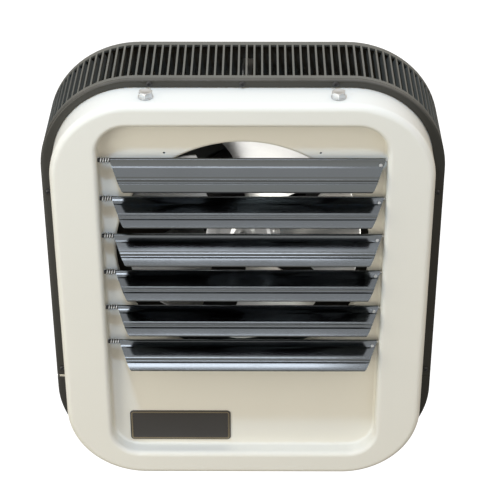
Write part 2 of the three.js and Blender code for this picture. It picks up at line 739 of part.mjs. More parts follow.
const bladeLeft = springLength + 2 * seat - recessSide;
const bladeRight = recessSide - louvreRightGap;

// The section carried across, with both ends sloping in and a rounded corner at the lower edge.
function louvreBlade() {
  const section = bladeSection();
  const slope = Math.tan(THREE.MathUtils.degToRad(louvreEndAngle));
  const endInset = (u) => {
    const past = Math.max(0, u - (louvreLength - louvreEndRound));
    const rounding = louvreEndRound - Math.sqrt(louvreEndRound ** 2 - past ** 2);
    return Math.max(0, u - beadRadius / 2) * slope + rounding;
  };
  const count = section.length;
  const coordinates = [
    ...section.map(([u, v]) => [bladeLeft + endInset(u), -v, -u]),
    ...section.map(([u, v]) => [bladeRight - endInset(u), -v, -u]),
  ].flat();
  const flat = section.map(([u, v]) => new THREE.Vector2(u, v));
  const caps = THREE.ShapeUtils.triangulateShape(flat, []);
  const triangles = caps.flatMap(([a, b, c]) => [a, b, c, c + count, b + count, a + count]);
  for (let i = 0; i < count; i += 1) {
    const j = (i + 1) % count;
    triangles.push(i, i + count, j, j, i + count, j + count);
  }
  return closedSurface(coordinates, triangles);
}

// Least distance between stretches of a wound wire that lie half a curl or more apart, less the wire itself.
function leastGap(points, stepsPerCurl) {
  let least = Infinity;
  for (let i = 0; i < points.length; i += 1) {
    for (let j = i + Math.round(stepsPerCurl / 2) + 1; j < points.length; j += 1) {
      least = Math.min(least, points[i].distanceTo(points[j]));
    }
  }
  return least - 2 * springWire;
}

// The coil round the rod, between the recess wall and the blade: a helix whose two ends run straight.
function springPoints(stepsPerCurl) {
  const steps = Math.round(springCurls * stepsPerCurl);
  const wire = 2 * springWire;
  const left = -recessSide + seat;
  const points = [at(left, 0, springRadius)];
  for (let i = 0; i <= steps; i += 1) {
    const angle = 2 * Math.PI * i / stepsPerCurl;
    const x = left + wire + (springLength - 2 * wire) * i / steps;
    points.push(at(x, springRadius * Math.sin(angle), springRadius * Math.cos(angle)));
  }
  const last = points.at(-1);
  points.push(at(last.x + wire, last.y, last.z));
  return points;
}

// ---------------------------------------------------------------- fan and motor

// One paddle: a part of a helicoid, narrow where it meets the spider and wide at its tip.
function fanBlade(index) {
  const radialSteps = 4;
  const chordSteps = 5;
  const inner = spiderRadius - bladeRoot;
  const middle = index * 2 * Math.PI / fanBlades;
  const full = THREE.MathUtils.degToRad(bladeAngle);
  const point = (row, column, offset) => {
    const reach = row / radialSteps;
    const radius = inner + (fanRadius - inner) * Math.sin(reach * Math.PI / 2);
    const across = column / chordSteps - 0.5;
    const spread = full * (0.42 + 0.58 * Math.min(1, reach * 1.7));
    const tipRound = 1 - 0.06 * reach * (2 * across) ** 4;
    const angle = middle + across * spread;
    const camber = fanCamber * (1 - 4 * across * across) * reach;
    const y = fanMiddle + across * spread / full * fanSweep - camber + offset;
    return [radius * tipRound * Math.cos(angle), y, outletHeight + radius * tipRound * Math.sin(angle)];
  };
  const rings = Array.from({ length: radialSteps + 1 }, (_, row) => [
    ...Array.from({ length: chordSteps + 1 }, (_, column) => point(row, column, 0)),
    ...Array.from({ length: chordSteps + 1 }, (_, column) => point(row, chordSteps - column, bladeSheet)),
  ]);
  return ringSolidStrip(rings);
}

// Like ringSolid, for rings that are thin closed strips: the ends are closed across the thickness.
function ringSolidStrip(rings) {
  const count = rings[0].length;
  const triangles = [];
  for (let r = 0; r + 1 < rings.length; r += 1) {
    for (let i = 0; i < count; i += 1) {
      const j = (i + 1) % count;
      const [a, b] = [r * count + i, r * count + j];
      triangles.push(a, b, b + count, a, b + count, a + count);
    }
  }
  const last = (rings.length - 1) * count;
  for (let i = 0; i + 1 < count / 2; i += 1) {
    const [near, far] = [count - 1 - i, count - 2 - i];
    triangles.push(i, near, far, i, far, i + 1);
    triangles.push(last + i, last + far, last + near, last + i, last + i + 1, last + far);
  }
  return closedSurface(rings.flat(2), triangles);
}

function fanWheel() {
  const bore = shaftRadius + seat;
  const spider = turned([
    [bore, 0], [spiderRadius, 0], [spiderRadius, spiderSheet], [bore, spiderSheet], [bore, 0],
  ], 24, at(0, fanMiddle - spiderSheet / 2, outletHeight), back);
  const blades = Array.from({ length: fanBlades }, (_, i) => fanBlade(i));
  return join(spider, ...blades);
}

const hubFront = fanMiddle + spiderSheet / 2 + seat;

function fanHub() {
  const bore = shaftRadius + seat;
  const profile = [
    [bore, 0], [hubFlange, 0], [hubFlange, spiderSheet], [hubRadius, 2 * spiderSheet], [hubRadius, hubLength],
    [bore, hubLength], [bore, 0],
  ];
  return turned(profile, 16, at(0, hubFront, outletHeight), back);
}

function motorBody() {
  const socket = shaftRadius + seat;
  const shoulder = motorShoulder / 3;
  const profile = [
    [0, shaftSocket], [socket, shaftSocket], [socket, 0], [motorBoss, 0], [motorBoss, shoulder],
    [motorRadius - 2 * shoulder, shoulder], [motorRadius, motorShoulder],
    [motorRadius, motorLength - motorShoulder],
    [motorRadius - 2 * shoulder, motorLength - shoulder], [motorBoss, motorLength - shoulder],
    [motorBoss, motorLength], [0, motorLength],
  ];
  return turned(profile, 24, at(0, motorFront, outletHeight), back);
}

// A strap round the motor with three arms, each turned back to a foot on the rear panel.
function motorBracket() {
  const inner = motorRadius + seat;
  const outer = inner + bandSheet;
  const strapBack = rearSheetFront - bandSetback;
  const strap = turned([
    [inner, 0], [outer, 0], [outer, bandWidth], [inner, bandWidth], [inner, 0],
  ], 24, at(0, strapBack - bandWidth, outletHeight), back);
  const reach = motorCoverRadius + armReach;
  const half = armWidth / 2;
  const footBack = rearSheetFront - seat;
  const arms = Array.from({ length: 3 }, (_, i) => {
    const arm = box(outer - bandSheet / 2, reach, strapBack - bandSheet, strapBack, -half, half);
    const shin = box(reach - bandSheet, reach, strapBack - bandSheet / 2, footBack, -half, half);
    const foot = box(reach - bandSheet / 2, reach + armFoot, footBack - bandSheet, footBack, -half, half);
    return [arm, shin, foot].map((piece) => {
      piece.rotateY(-Math.PI / 2 - i * 2 * Math.PI / 3);
      piece.translate(0, 0, outletHeight);
      return piece;
    });
  }).flat();
  return join(strap, ...arms);
}

// ---------------------------------------------------------------- heating elements

// The middle line of one element: up the left side, over the top and down the right.
function elementPath(y) {
  const foot = partitionHeight - elementTail;
  const bendX = elementSide - elementBend;
  const bendZ = elementTop - elementBend;
  const steps = 6;
  const bend = (side) => Array.from({ length: steps + 1 }, (_, i) => {
    const angle = (i / steps) * Math.PI / 2;
    return at(side * (bendX + elementBend * Math.cos(angle)), y, bendZ + elementBend * Math.sin(angle));
  });
  return [at(-elementSide, y, foot), ...bend(-1), ...bend(1).reverse(), at(elementSide, y, foot)];
}

// A comb of sheet metal that carries the elements, standing on the rear panel.
function elementClip(vertical) {
  const [y0, y1] = [elementFirst - elementPitch / 2, rearSheetFront - seat];
  const half = clipWidth / 2;
  const thick = caseSheet;
  const plate = vertical
    ? box(-thick / 2, thick / 2, y0, y1, -half, half)
    : box(-half, half, y0, y1, -thick / 2, thick / 2);
  const foot = vertical
    ? box(-thick / 2, clipFoot, y1 - thick, y1, -half, half)
    : box(-half, half, y1 - thick, y1, -thick / 2, clipFoot);
  const axis = vertical ? right : up;
  const holes = elementDepths.map((y) =>
    rod(elementRadius + seat, 6, 10, at(0, y, 0).addScaledVector(axis, -3), axis));
  return cut(join(plate, foot), gather(holes));
}

// ---------------------------------------------------------------- wiring compartment

const partitionTop = partitionHeight + caseSheet;
const innerSide = caseSide - 2 * caseSheet - 2 * seat;

// A shelf across the case with both long edges turned down, pierced for the elements' legs.
function partition() {
  const [y0, y1] = [caseSheet + panelSheet + 3 * seat, rearSheetFront - seat];
  const low = partitionTop - partitionFlange;
  const profile = [
    [y0, low], [y0 + caseSheet, low], [y0 + caseSheet, partitionHeight], [y1 - caseSheet, partitionHeight],
    [y1 - caseSheet, low], [y1, low], [y1, partitionTop], [y0, partitionTop],
  ];
  const shelf = extrudeAcross(profile, -innerSide, innerSide);
  const holes = elementDepths.flatMap((y) => [-elementSide, elementSide].map((x) =>
    rod(elementRadius + seat, 6, 10, at(x, y, partitionHeight - 3), up)));
  return cut(shelf, gather(holes));
}

const gearBack = rearSheetFront - seat; // what hangs on the rear panel stops here
const gearZ = gearHeight - caseTop;

// A housing on the rear panel whose section, in depth and height, steps down to its terminals at both ends.
function steppedHousing(size, x, z) {
  const [low, high] = [z - size.height / 2, z + size.height / 2];
  const [step, face] = [gearBack - size.step, gearBack - size.depth];
  return extrudeAcross([
    [gearBack, low], [gearBack, high], [step, high], [step, high - size.ledge], [face, high - size.ledge],
    [face, low + size.ledge], [step, low + size.ledge], [step, low],
  ], x - size.width / 2, x + size.width / 2);
}

// The middles of some equal parts, about a point.
const places = (count, pitch) => Array.from({ length: count }, (_, i) => (i - (count - 1) / 2) * pitch);

// Gaps part the contactor's terminals, above and below.
function contactor(x, z) {
  const { height, depth, step, ledge, gap, pitch } = contactorSize;
  const gaps = places(2, pitch).flatMap((dx) => [-1, 1].map((side) => {
    const middle = z + side * (height - ledge) / 2;
    return box(x + dx - gap / 2, x + dx + gap / 2, gearBack - (step + depth) / 2, gearBack - step / 2,
      middle - ledge, middle + ledge);
  }));
  return cut(steppedHousing(contactorSize, x, z), gather(gaps));
}

function transformer(x, z) {
  const block = ({ width, height, front: near, back: far }) =>
    box(x - width / 2, x + width / 2, gearBack - near, gearBack - far, z - height / 2, z + height / 2);
  const footTop = z - coreSize.height / 2 + coreFoot.height;
  const foot = box(x - coreFoot.width / 2, x + coreFoot.width / 2, gearBack - coreFoot.depth, gearBack,
    footTop - coreFoot.height, footTop);
  return join(block(coreSize), block(coilSize), foot);
}

function terminalBlock(x, z) {
  const { depth, step, ledge } = terminalSize;
  const { count, pitch, width } = terminalWays;
  const sockets = places(count, pitch).map((dx) =>
    box(x + dx - width / 2, x + dx + width / 2, gearBack - 2 * depth, gearBack - (step + depth) / 2,
      z - ledge / 2, z + ledge / 2));
  return cut(steppedHousing(terminalSize, x, z), gather(sockets));
}

function fanRelay(x, z) {
  const { width, height, depth, tabs, pitch, tabWidth, tabLength } = relaySize;
  const can = box(x - width / 2, x + width / 2, gearBack - depth, gearBack, z - height / 2, z + height / 2);
  const blades = places(tabs, pitch).map((dx) =>
    box(x + dx - tabWidth / 2, x + dx + tabWidth / 2, gearBack - depth - tabLength, gearBack - depth + 1,
      z - panelSheet / 2, z + panelSheet / 2));
  return join(can, ...blades);
}

function highLimit({ x, depth, flange, radius, height }) {
  const profile = [[0, 0], [flange, 0], [flange, height / 10], [radius, height / 5], [radius, height * 0.9],
    [radius * 0.8, height], [0, height]];
  return turned(profile, 16, at(x, depth, partitionTop + seat), up);
}

// ---------------------------------------------------------------- assembly

addPiece('front_panel', frontPanel(), almondPaint);
addPiece('front_frame', frontFrame(), bronzePaint);
addPiece('intake_band', slottedBand(), bronzePaint);
addPiece('rear_panel', rearPanel(), bronzePaint);
addPiece('motor_cover', motorCover(), bronzePaint);
addPiece('wiring_partition', partition(), galvanised);

const plateOutline = roundedOutline(plateWidth / 2, plateHeight / 2, -plateHeight / 2, plateCorner, 3, 1);
const plate = addPiece('name_plate', extrudeDepth(toShape(plateOutline), -plateSheet, 0), blackEnamel);
plate.position.set(plateFromSide + plateWidth / 2 - recessSide, floorDepth - seat,
  recessBottom + plateFromBottom + plateHeight / 2);

for (const side of [-1, 1]) {
  const hand = side < 0 ? 'left' : 'right';
  addPiece(`hanger_bolt_front_${hand}`,
    hangerBolt(at(side * hangerBoltX, -hangerBoltDepth, panelTop), up, frontBoltLength), zinc);
  addPiece(`hanger_bolt_rear_${hand}`,
    hangerBolt(at(side * hangerBoltX, rearFace, caseTop - rearBoltDrop), back, rearBoltLength), zinc);
  addPiece(`knockout_${hand}`, rod(knockoutRadius - seat, caseSheet, 16,
    at(side * knockoutX, rearSheetFront, knockoutRise - caseTop), back), bronzePaint);
  addPiece(`door_screw_${hand}`,
    panScrew(at(side * doorScrewX, doorScrewDepth, -caseTop), down, coverScrewLength), blackEnamel);
}
for (const [name, [x, z]] of Object.entries(screwPlaces)) {
  addPiece(`frame_screw_${name}`, panScrew(at(x, 0, z), front, frameScrewLength), blackEnamel);
}
coverScrewPlaces.forEach(([x, z], i) => {
  addPiece(`cover_screw_${i ? 'right' : 'left'}`,
    panScrew(at(x, rearFace + caseSheet + seat, z), back, coverScrewLength), blackEnamel);
});

pivotHeights.forEach((z, k) => {
  const pivot = new THREE.Group();
  pivot.position.set(0, pivotY, z);
  heater.add(pivot);
  const blade = addPiece(`louvre_blade_${k + 1}`, louvreBlade(), aluminium, pivot);
  blade.rotation.x = -THREE.MathUtils.degToRad(louvreTilt[k]);
  const rodEnd = recessSide + rodReach;
  addPiece(`louvre_rod_${k + 1}`, rod(rodRadius, 2 * rodEnd, 8, at(-rodEnd, 0, 0), right), zinc, pivot);
  const coil = springPoints(8);
  if (k === 0) console.log(`louvre spring: least gap to itself ${leastGap(coil, 8).toFixed(2)} mm`);
  addPiece(`louvre_spring_${k + 1}`, sweptWire(coil, springWire, 5), zinc, pivot);
});

addPiece('fan_wheel', fanWheel(), fanAluminium);
addPiece('fan_hub', fanHub(), zinc);
const shaftFront = fanMiddle - spiderSheet / 2 - shaftNose;
const shaftLength = motorFront + shaftSocket - seat - shaftFront;
addPiece('motor_shaft', rod(shaftRadius, shaftLength, 16, at(0, shaftFront, outletHeight), back), zinc);
addPiece('motor_body', motorBody(), blackEnamel);
addPiece('motor_bracket', motorBracket(), galvanised);

['front', 'middle', 'rear'].forEach((place, k) => {
  addPiece(`heating_element_${place}`,
    sweptWire(elementPath(elementDepths[k]), elementRadius, 8), elementSteel);
});
addPiece('element_clip_top', elementClip(true), galvanised).position.set(0, 0, elementTop);
addPiece('element_clip_left', elementClip(false), galvanised).position.set(-elementSide, 0, outletHeight);
addPiece('element_clip_right', elementClip(false), galvanised).position.set(elementSide, 0, outletHeight);

addPiece('contactor', contactor(contactorSide - caseSide, gearZ), blackPlastic);
addPiece('transformer', transformer(0, gearZ), coilCopper);
addPiece('terminal_block', terminalBlock(caseSide - terminalSide, gearZ - terminalDrop), blackPlastic);
addPiece('fan_relay',
  fanRelay(caseSide - relaySide, partitionHeight - relayDrop - relaySize.height / 2), blackPlastic);
addPiece('high_limit_thermostat', highLimit(thermostat), zinc);
addPiece('door_hinge_pin',
  rod(hingePinRadius, hingeSpan, 10, at(-hingeSpan / 2, hingeY, hingeZ), right), zinc);
addPiece('access_door', accessDoor(), bronzePaint);

heater.position.set(0, hangerBoltDepth, -panelTop);
const object = new THREE.Group();
object.add(heater);

export default object;
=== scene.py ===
# %% [markdown]
# # A hanging fan heater, dressed for its portrait
#
# The heater is a box of dark bronze sheet steel with a slotted band round its rim, a drawn almond front
# panel, six louvres of extruded aluminium and a fan behind a round outlet. The solids come from the packed
# frame. This lesson keeps their places and joints and gives each shown piece the edges, curves and finish
# that the real one has. Sizes are in millimetres about the middle of the front flange, as a maker would
# measure them, and one function moves them into the frame, which is in metres.

# %% Load the frame
import math

import bmesh
import bpy
import numpy as np
from mathutils import Matrix
from mathutils.geometry import delaunay_2d_cdt


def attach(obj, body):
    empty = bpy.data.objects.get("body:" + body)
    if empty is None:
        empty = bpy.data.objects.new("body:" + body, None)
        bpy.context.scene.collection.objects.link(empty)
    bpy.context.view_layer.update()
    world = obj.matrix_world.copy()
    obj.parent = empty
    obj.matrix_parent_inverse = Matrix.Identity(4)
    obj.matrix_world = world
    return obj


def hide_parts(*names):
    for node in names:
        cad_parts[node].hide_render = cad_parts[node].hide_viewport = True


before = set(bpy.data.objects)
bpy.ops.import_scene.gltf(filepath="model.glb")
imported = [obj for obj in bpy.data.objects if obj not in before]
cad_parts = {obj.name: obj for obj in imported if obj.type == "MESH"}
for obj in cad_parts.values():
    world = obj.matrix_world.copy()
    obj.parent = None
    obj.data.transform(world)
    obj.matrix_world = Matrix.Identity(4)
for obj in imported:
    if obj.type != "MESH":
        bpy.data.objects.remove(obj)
scene = bpy.context.scene
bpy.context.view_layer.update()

# %% [markdown]
# ## Camera
#
# The photograph was taken with a long lens from about 1.2 m, a little above the heater. The axes of the
# camera are worked out from three angles: how far it looks down, how far it turns and how far it leans. A
# camera that is placed first keeps every later look comparable with the photograph.

# %% Camera
FRAME_WIDTH = 500  # pixels, the photograph's frame
FOCAL = 1607.4  # in the same pixels
SENSOR = 36.0
PITCH, YAW, ROLL = 0.5627, -0.007, -0.002
EYE = (0.0149, -1.2150, 0.6143)

ahead = np.array([math.sin(YAW) * math.cos(PITCH), math.cos(YAW) * math.cos(PITCH), -math.sin(PITCH)])
level = np.array([math.cos(YAW), -math.sin(YAW), 0.0])
below = np.cross(ahead, level)
right = math.cos(ROLL) * level - math.sin(ROLL) * below
under = math.sin(ROLL) * level + math.cos(ROLL) * below
lens = bpy.data.cameras.new("portrait")
lens.sensor_width = SENSOR
lens.lens = FOCAL / FRAME_WIDTH * SENSOR
lens.clip_start, lens.clip_end = 0.05, 20.0
camera = bpy.data.objects.new("portrait", lens)
scene.collection.objects.link(camera)
turn = Matrix([[right[i], -under[i], -ahead[i]] for i in range(3)])
camera.matrix_world = Matrix.Translation(EYE) @ turn.to_4x4()
scene.camera = camera
print(f"lens {lens.lens:.1f} mm, looking down {math.degrees(PITCH):.1f} degrees")

# %% [markdown]
# ## Floor and light
#
# A product picture on white needs a floor that is paler than the object. The heater hangs, so the floor lies
# well below it, and floor and sky are white to the camera only. The light follows the shadows in the
# photograph: a small cool lamp near the ceiling, a little to the left, throws the rim's short shadow on the
# recess, and two large warm lamps and the sky fill it. Polished aluminium shows what it mirrors and nothing
# else, so two more lamps are seen by reflections only: a long strip above, which the lowest louvre and each
# ridge mirror, and a card at the lower left, which the fan's blades mirror.

# %% Floor and light
FLOOR_HEIGHT, FLOOR_REACH = -0.95, 60.0
FLOOR_GREY = (0.16, 0.16, 0.16, 1)
WHITE = (1, 1, 1, 1)
SKY_LIGHT = 2.0
SKY = [  # height of the gaze, from 0 straight down to 1 straight up, and the light's red, green and blue
    (0.0, 0.38, 0.34, 0.29), (0.42, 0.50, 0.44, 0.36), (0.56, 0.68, 0.61, 0.52), (0.80, 1.00, 0.95, 0.86),
    (0.905, 1.06, 1.02, 0.99), (0.964, 1.06, 1.02, 0.99), (1.0, 0.90, 0.86, 0.84),
]


def linear(red, green, blue):
    """A colour measured on screen, 0 to 255, as the light that a shader works with."""
    value = np.array([red, green, blue]) / 255
    value = np.where(value <= 0.04045, value / 12.92, ((value + 0.055) / 1.055) ** 2.4)
    return (*[float(v) for v in value], 1.0)


def softbox(name, place, aim, width, height, power, tint=(1, 1, 1)):
    """A rectangular lamp at a place, facing a point."""
    lamp = bpy.data.lights.new(name, "AREA")
    lamp.shape, lamp.size, lamp.size_y = "RECTANGLE", width, height
    lamp.energy, lamp.color = power, tint
    holder = bpy.data.objects.new(name, lamp)
    scene.collection.objects.link(holder)
    away = np.array(place) - np.array(aim)
    away = away / np.linalg.norm(away)
    across = np.cross([0, 0, 1], away)
    across = across / np.linalg.norm(across)
    rise = np.cross(away, across)
    facing = Matrix([[across[i], rise[i], away[i]] for i in range(3)])
    holder.matrix_world = Matrix.Translation(place) @ facing.to_4x4()
    return holder


def node(tree, kind, links=None, **settings):
    """A node with its settings, its number inputs and its links: {input name: value or socket}."""
    made = tree.nodes.new(kind)
    for key, value in settings.items():
        setattr(made, key, value)
    for label, value in (links or {}).items():
        if isinstance(value, bpy.types.NodeSocket):
            tree.links.new(value, made.inputs[label])
        else:
            made.inputs[label].default_value = value
    return made


ceiling = softbox("ceiling", (-0.21, -0.547, 1.09), (0, 0, -0.2), 0.14, 0.07, 7.0, (0.66, 1.0, 1.5))
softbox("left", (-1.6, -1.3, -0.05), (0, 0, -0.2), 1.2, 1.6, 18.3, (0.97, 0.96, 0.85))
softbox("right", (1.1, -1.75, -0.05), (0, 0, -0.2), 1.2, 1.6, 3.2, (0.95, 1.0, 0.93))
halo = softbox("halo", (-1.47, -1.44, 2.45), (-1.47, 0, -0.15), 3.4, 0.22, 12.5, (1.0, 1.0, 1.05))
card = softbox("card", (-0.75, -0.8, -0.72), (0, 0, -0.16), 1.0, 0.8, 2.3, (1.0, 0.98, 0.96))
ceiling.visible_glossy = False
halo.visible_diffuse = False
card.visible_diffuse = False

world = bpy.data.worlds.new("studio")
scene.world = world
world.use_nodes = True
sky = world.node_tree
gaze = node(sky, "ShaderNodeTexCoord").outputs["Generated"]
height = node(sky, "ShaderNodeSeparateXYZ", {"Vector": gaze}).outputs["Z"]
upward = node(sky, "ShaderNodeMapRange", {"Value": height, "From Min": -1.0}).outputs["Result"]
band = node(sky, "ShaderNodeValToRGB", {"Fac": upward})
for place, *_ in SKY[1:-1]:
    band.color_ramp.elements.new(place)
for stop, (_, *colour) in zip(band.color_ramp.elements, SKY):
    stop.color = (*[value / SKY_LIGHT for value in colour], 1)
glow = sky.nodes["Background"]
glow.inputs["Strength"].default_value = SKY_LIGHT
sky.links.new(band.outputs["Color"], glow.inputs["Color"])
backdrop = node(sky, "ShaderNodeBackground", {"Color": WHITE})
to_camera = node(sky, "ShaderNodeLightPath").outputs["Is Camera Ray"]
shown = node(sky, "ShaderNodeMixShader", {0: to_camera, 1: glow.outputs[0], 2: backdrop.outputs[0]})
sky.links.new(shown.outputs[0], sky.nodes["World Output"].inputs["Surface"])

floor_mesh = bpy.data.meshes.new("studio_floor")
floor_corners = [(-1, -1), (1, -1), (1, 1), (-1, 1)]
floor_points = [(x * FLOOR_REACH, y * FLOOR_REACH, FLOOR_HEIGHT) for x, y in floor_corners]
floor_mesh.from_pydata(floor_points, [], [range(4)])
floor = bpy.data.objects.new("studio_floor", floor_mesh)
scene.collection.objects.link(floor)
floor_paint = bpy.data.materials.new("pale_floor")
floor_paint.use_nodes = True
floor_shader = floor_paint.node_tree.nodes["Principled BSDF"]
floor_shader.inputs["Base Color"].default_value = FLOOR_GREY
floor_shader.inputs["Roughness"].default_value = 0.9
floor_shader.inputs["Emission Color"].default_value = WHITE
to_camera = node(floor_paint.node_tree, "ShaderNodeLightPath").outputs["Is Camera Ray"]
floor_paint.node_tree.links.new(to_camera, floor_shader.inputs["Emission Strength"])
floor_mesh.materials.append(floor_paint)
scene.view_settings.view_transform = "Standard"
print(f"floor {FLOOR_HEIGHT} m, {len(bpy.data.lights)} lamps, two of them seen by reflections only")

# %% [markdown]
# ## Shared effects
#
# The orange peel of baked paint, the long draw lines of extruded or rolled metal, the crystals of galvanised
# steel, and the faint dust that settles on whatever faces up: each is a node group that is built once and
# then used by every finish that shows it. Each reads Object coordinates, which are in metres, so a scale of
# 400 means a grain of about 2.5 mm.


# %% Shared effects
def effect(name, inputs, outputs=("Colour", "Roughness", "Height")):
    """An empty node group, its inputs and its outputs. An input that starts as a tuple is a colour."""
    group = bpy.data.node_groups.new(name, "ShaderNodeTree")
    for label, start in inputs.items():
        kind = "NodeSocketColor" if isinstance(start, tuple) else "NodeSocketFloat"
        group.interface.new_socket(label, in_out="INPUT", socket_type=kind).default_value = start
    for label in outputs:
        kind = "NodeSocketColor" if label == "Colour" else "NodeSocketFloat"
        group.interface.new_socket(label, in_out="OUTPUT", socket_type=kind)
    return group, group.nodes.new("NodeGroupInput").outputs, group.nodes.new("NodeGroupOutput").inputs


def math_of(tree, first, second, how="ADD"):
    """Two numbers or sockets joined by one Math node."""
    return node(tree, "ShaderNodeMath", {0: first, 1: second}, operation=how).outputs[0]


def swing_of(tree, noise, amount):
    """Noise about a half as a swing about nothing: (noise - 1/2) * amount."""
    return math_of(tree, math_of(tree, noise, 0.5, "SUBTRACT"), amount, "MULTIPLY")


def noise_of(tree, place, scale, detail, roughness=0.5):
    """Noise with a number of grains to the metre."""
    settings = {"Vector": place, "Scale": scale, "Detail": detail, "Roughness": roughness}
    return node(tree, "ShaderNodeTexNoise", settings).outputs["Fac"]


def surface(group, given, out, swing, rougher, relief):
    """Sends out Colour * (1 + swing), Roughness + rougher, and the relief as the height."""
    level = math_of(group, swing, 1.0)
    tinted = node(group, "ShaderNodeVectorMath", {0: given["Colour"], "Scale": level}, operation="SCALE")
    group.links.new(tinted.outputs[0], out["Colour"])
    group.links.new(math_of(group, rougher, given["Roughness"]), out["Roughness"])
    group.links.new(relief, out["Height"])
    return group


def orange_peel():
    """Paint: height = fine noise, swing of colour = slow noise + flecks, swing of roughness = slow noise."""
    start = {"Colour": (0.8, 0.8, 0.8, 1), "Grain": 420.0, "Tone": 0.03, "Roughness": 0.4}
    group, given, out = effect("orange_peel", start)
    place = node(group, "ShaderNodeTexCoord").outputs["Object"]
    fine = noise_of(group, place, given["Grain"], 3.0, 0.45)
    slow = noise_of(group, place, 14.0, 2.0)
    fleck = noise_of(group, place, 2600.0, 1.0)
    swing = math_of(group, swing_of(group, slow, given["Tone"]), swing_of(group, fleck, given["Tone"]))
    return surface(group, given, out, swing, swing_of(group, slow, 0.16), fine)


def draw_lines():
    """Drawn metal: noise that is stretched along X, so its lines run the way that the metal was pulled, and a
    slow cloud. Colour and roughness swing together, and the lines are the height."""
    start = {"Colour": (0.6, 0.6, 0.6, 1), "Lines": 900.0, "Along": 0.012, "Contrast": 0.12, "Roughness": 0.3}
    group, given, out = effect("draw_lines", start)
    place = node(group, "ShaderNodeTexCoord").outputs["Object"]
    stretch = node(group, "ShaderNodeCombineXYZ", {"X": given["Along"], "Y": 1.0, "Z": 1.0}).outputs[0]
    pulled = node(group, "ShaderNodeVectorMath", {0: place, 1: stretch}, operation="MULTIPLY").outputs[0]
    lines = noise_of(group, pulled, given["Lines"], 4.0, 0.7)
    cloud = noise_of(group, place, 22.0, 3.0)
    swing = math_of(group, swing_of(group, lines, given["Contrast"]), swing_of(group, cloud, 0.10))
    return surface(group, given, out, swing, swing, lines)


def crystals():
    """Galvanised steel: flat cells of slightly different grey, each with its own roughness."""
    start = {"Colour": (0.5, 0.5, 0.5, 1), "Size": 160.0, "Contrast": 0.35, "Roughness": 0.4}
    group, given, out = effect("crystals", start)
    place = node(group, "ShaderNodeTexCoord").outputs["Object"]
    cells = node(group, "ShaderNodeTexVoronoi", {"Vector": place, "Scale": given["Size"]}).outputs
    grey = node(group, "ShaderNodeSeparateColor", {"Color": cells["Color"]}).outputs[0]
    swing = swing_of(group, grey, given["Contrast"])
    return surface(group, given, out, swing, math_of(group, swing, 0.4, "MULTIPLY"), cells["Distance"])


def settled_dust():
    """Dust: a mask that is strongest where the surface faces up, broken by noise."""
    start = {"Colour": (0.5, 0.5, 0.5, 1), "Dust": (0.62, 0.6, 0.55, 1), "Amount": 0.1}
    group, given, out = effect("settled_dust", start, ("Colour",))
    place = node(group, "ShaderNodeTexCoord").outputs["Object"]
    outward = node(group, "ShaderNodeNewGeometry").outputs["Normal"]
    facing = node(group, "ShaderNodeSeparateXYZ", {"Vector": outward}).outputs["Z"]
    settings = {"Value": facing, "From Min": 0.35, "From Max": 1.0}
    upward = node(group, "ShaderNodeMapRange", settings).outputs["Result"]
    patches = noise_of(group, place, 90.0, 4.0)
    mask = math_of(group, math_of(group, upward, patches, "MULTIPLY"), given["Amount"], "MULTIPLY")
    mixed = node(group, "ShaderNodeMix", {0: mask, 6: given["Colour"], 7: given["Dust"]}, data_type="RGBA")
    group.links.new(mixed.outputs[2], out["Colour"])
    return group


PEEL, LINES, CRYSTALS, DUST = orange_peel(), draw_lines(), crystals(), settled_dust()
print("effects:", ", ".join(g.name for g in bpy.data.node_groups))

# %% [markdown]
# ## Finishes
#
# Each finish is one Principled shader. Its colour, roughness and bump come from an effect group, and its
# metallic value is set on the shader itself, because it is the same all over. Dust is laid over the dark
# paints, where it shows. The bump distances are real, in metres: five hundredths of a millimetre of orange
# peel is enough to break up a reflection.


# %% Finishes
def finish(name, group, values, metallic=0.0, bump=0.00001, dust=0.0, coat=0.0, strength=0.5, shine=0.5):
    """A material that takes colour, roughness and height from one effect group."""
    material = bpy.data.materials.new(name)
    material.use_nodes = True
    tree = material.node_tree
    shader = tree.nodes["Principled BSDF"].inputs
    shader["Metallic"].default_value = metallic
    shader["Specular IOR Level"].default_value = shine
    shader["Coat Weight"].default_value = coat
    shader["Coat Roughness"].default_value = 0.25
    source = node(tree, "ShaderNodeGroup", node_tree=group)
    for label, value in values.items():
        source.inputs[label].default_value = value
    colour = source.outputs["Colour"]
    if dust:
        film = node(tree, "ShaderNodeGroup", node_tree=DUST)
        film.inputs["Amount"].default_value = dust
        tree.links.new(colour, film.inputs["Colour"])
        colour = film.outputs["Colour"]
    tree.links.new(colour, shader["Base Color"])
    tree.links.new(source.outputs["Roughness"], shader["Roughness"])
    settings = {"Height": source.outputs["Height"], "Distance": bump, "Strength": strength}
    tree.links.new(node(tree, "ShaderNodeBump", settings).outputs["Normal"], shader["Normal"])
    return material


def paint(name, colour, grain, tone, roughness, **more):
    """A finish of orange peel: a painted, plated or moulded surface."""
    values = {"Colour": linear(*colour), "Grain": grain, "Tone": tone, "Roughness": roughness}
    return finish(name, PEEL, values, **more)


def drawn(name, colour, lines, along, contrast, roughness, **more):
    """A finish of draw lines: an extruded, rolled or wound metal."""
    values = {"Colour": linear(*colour), "Lines": lines, "Along": along, "Contrast": contrast,
              "Roughness": roughness}
    return finish(name, LINES, values, **more)


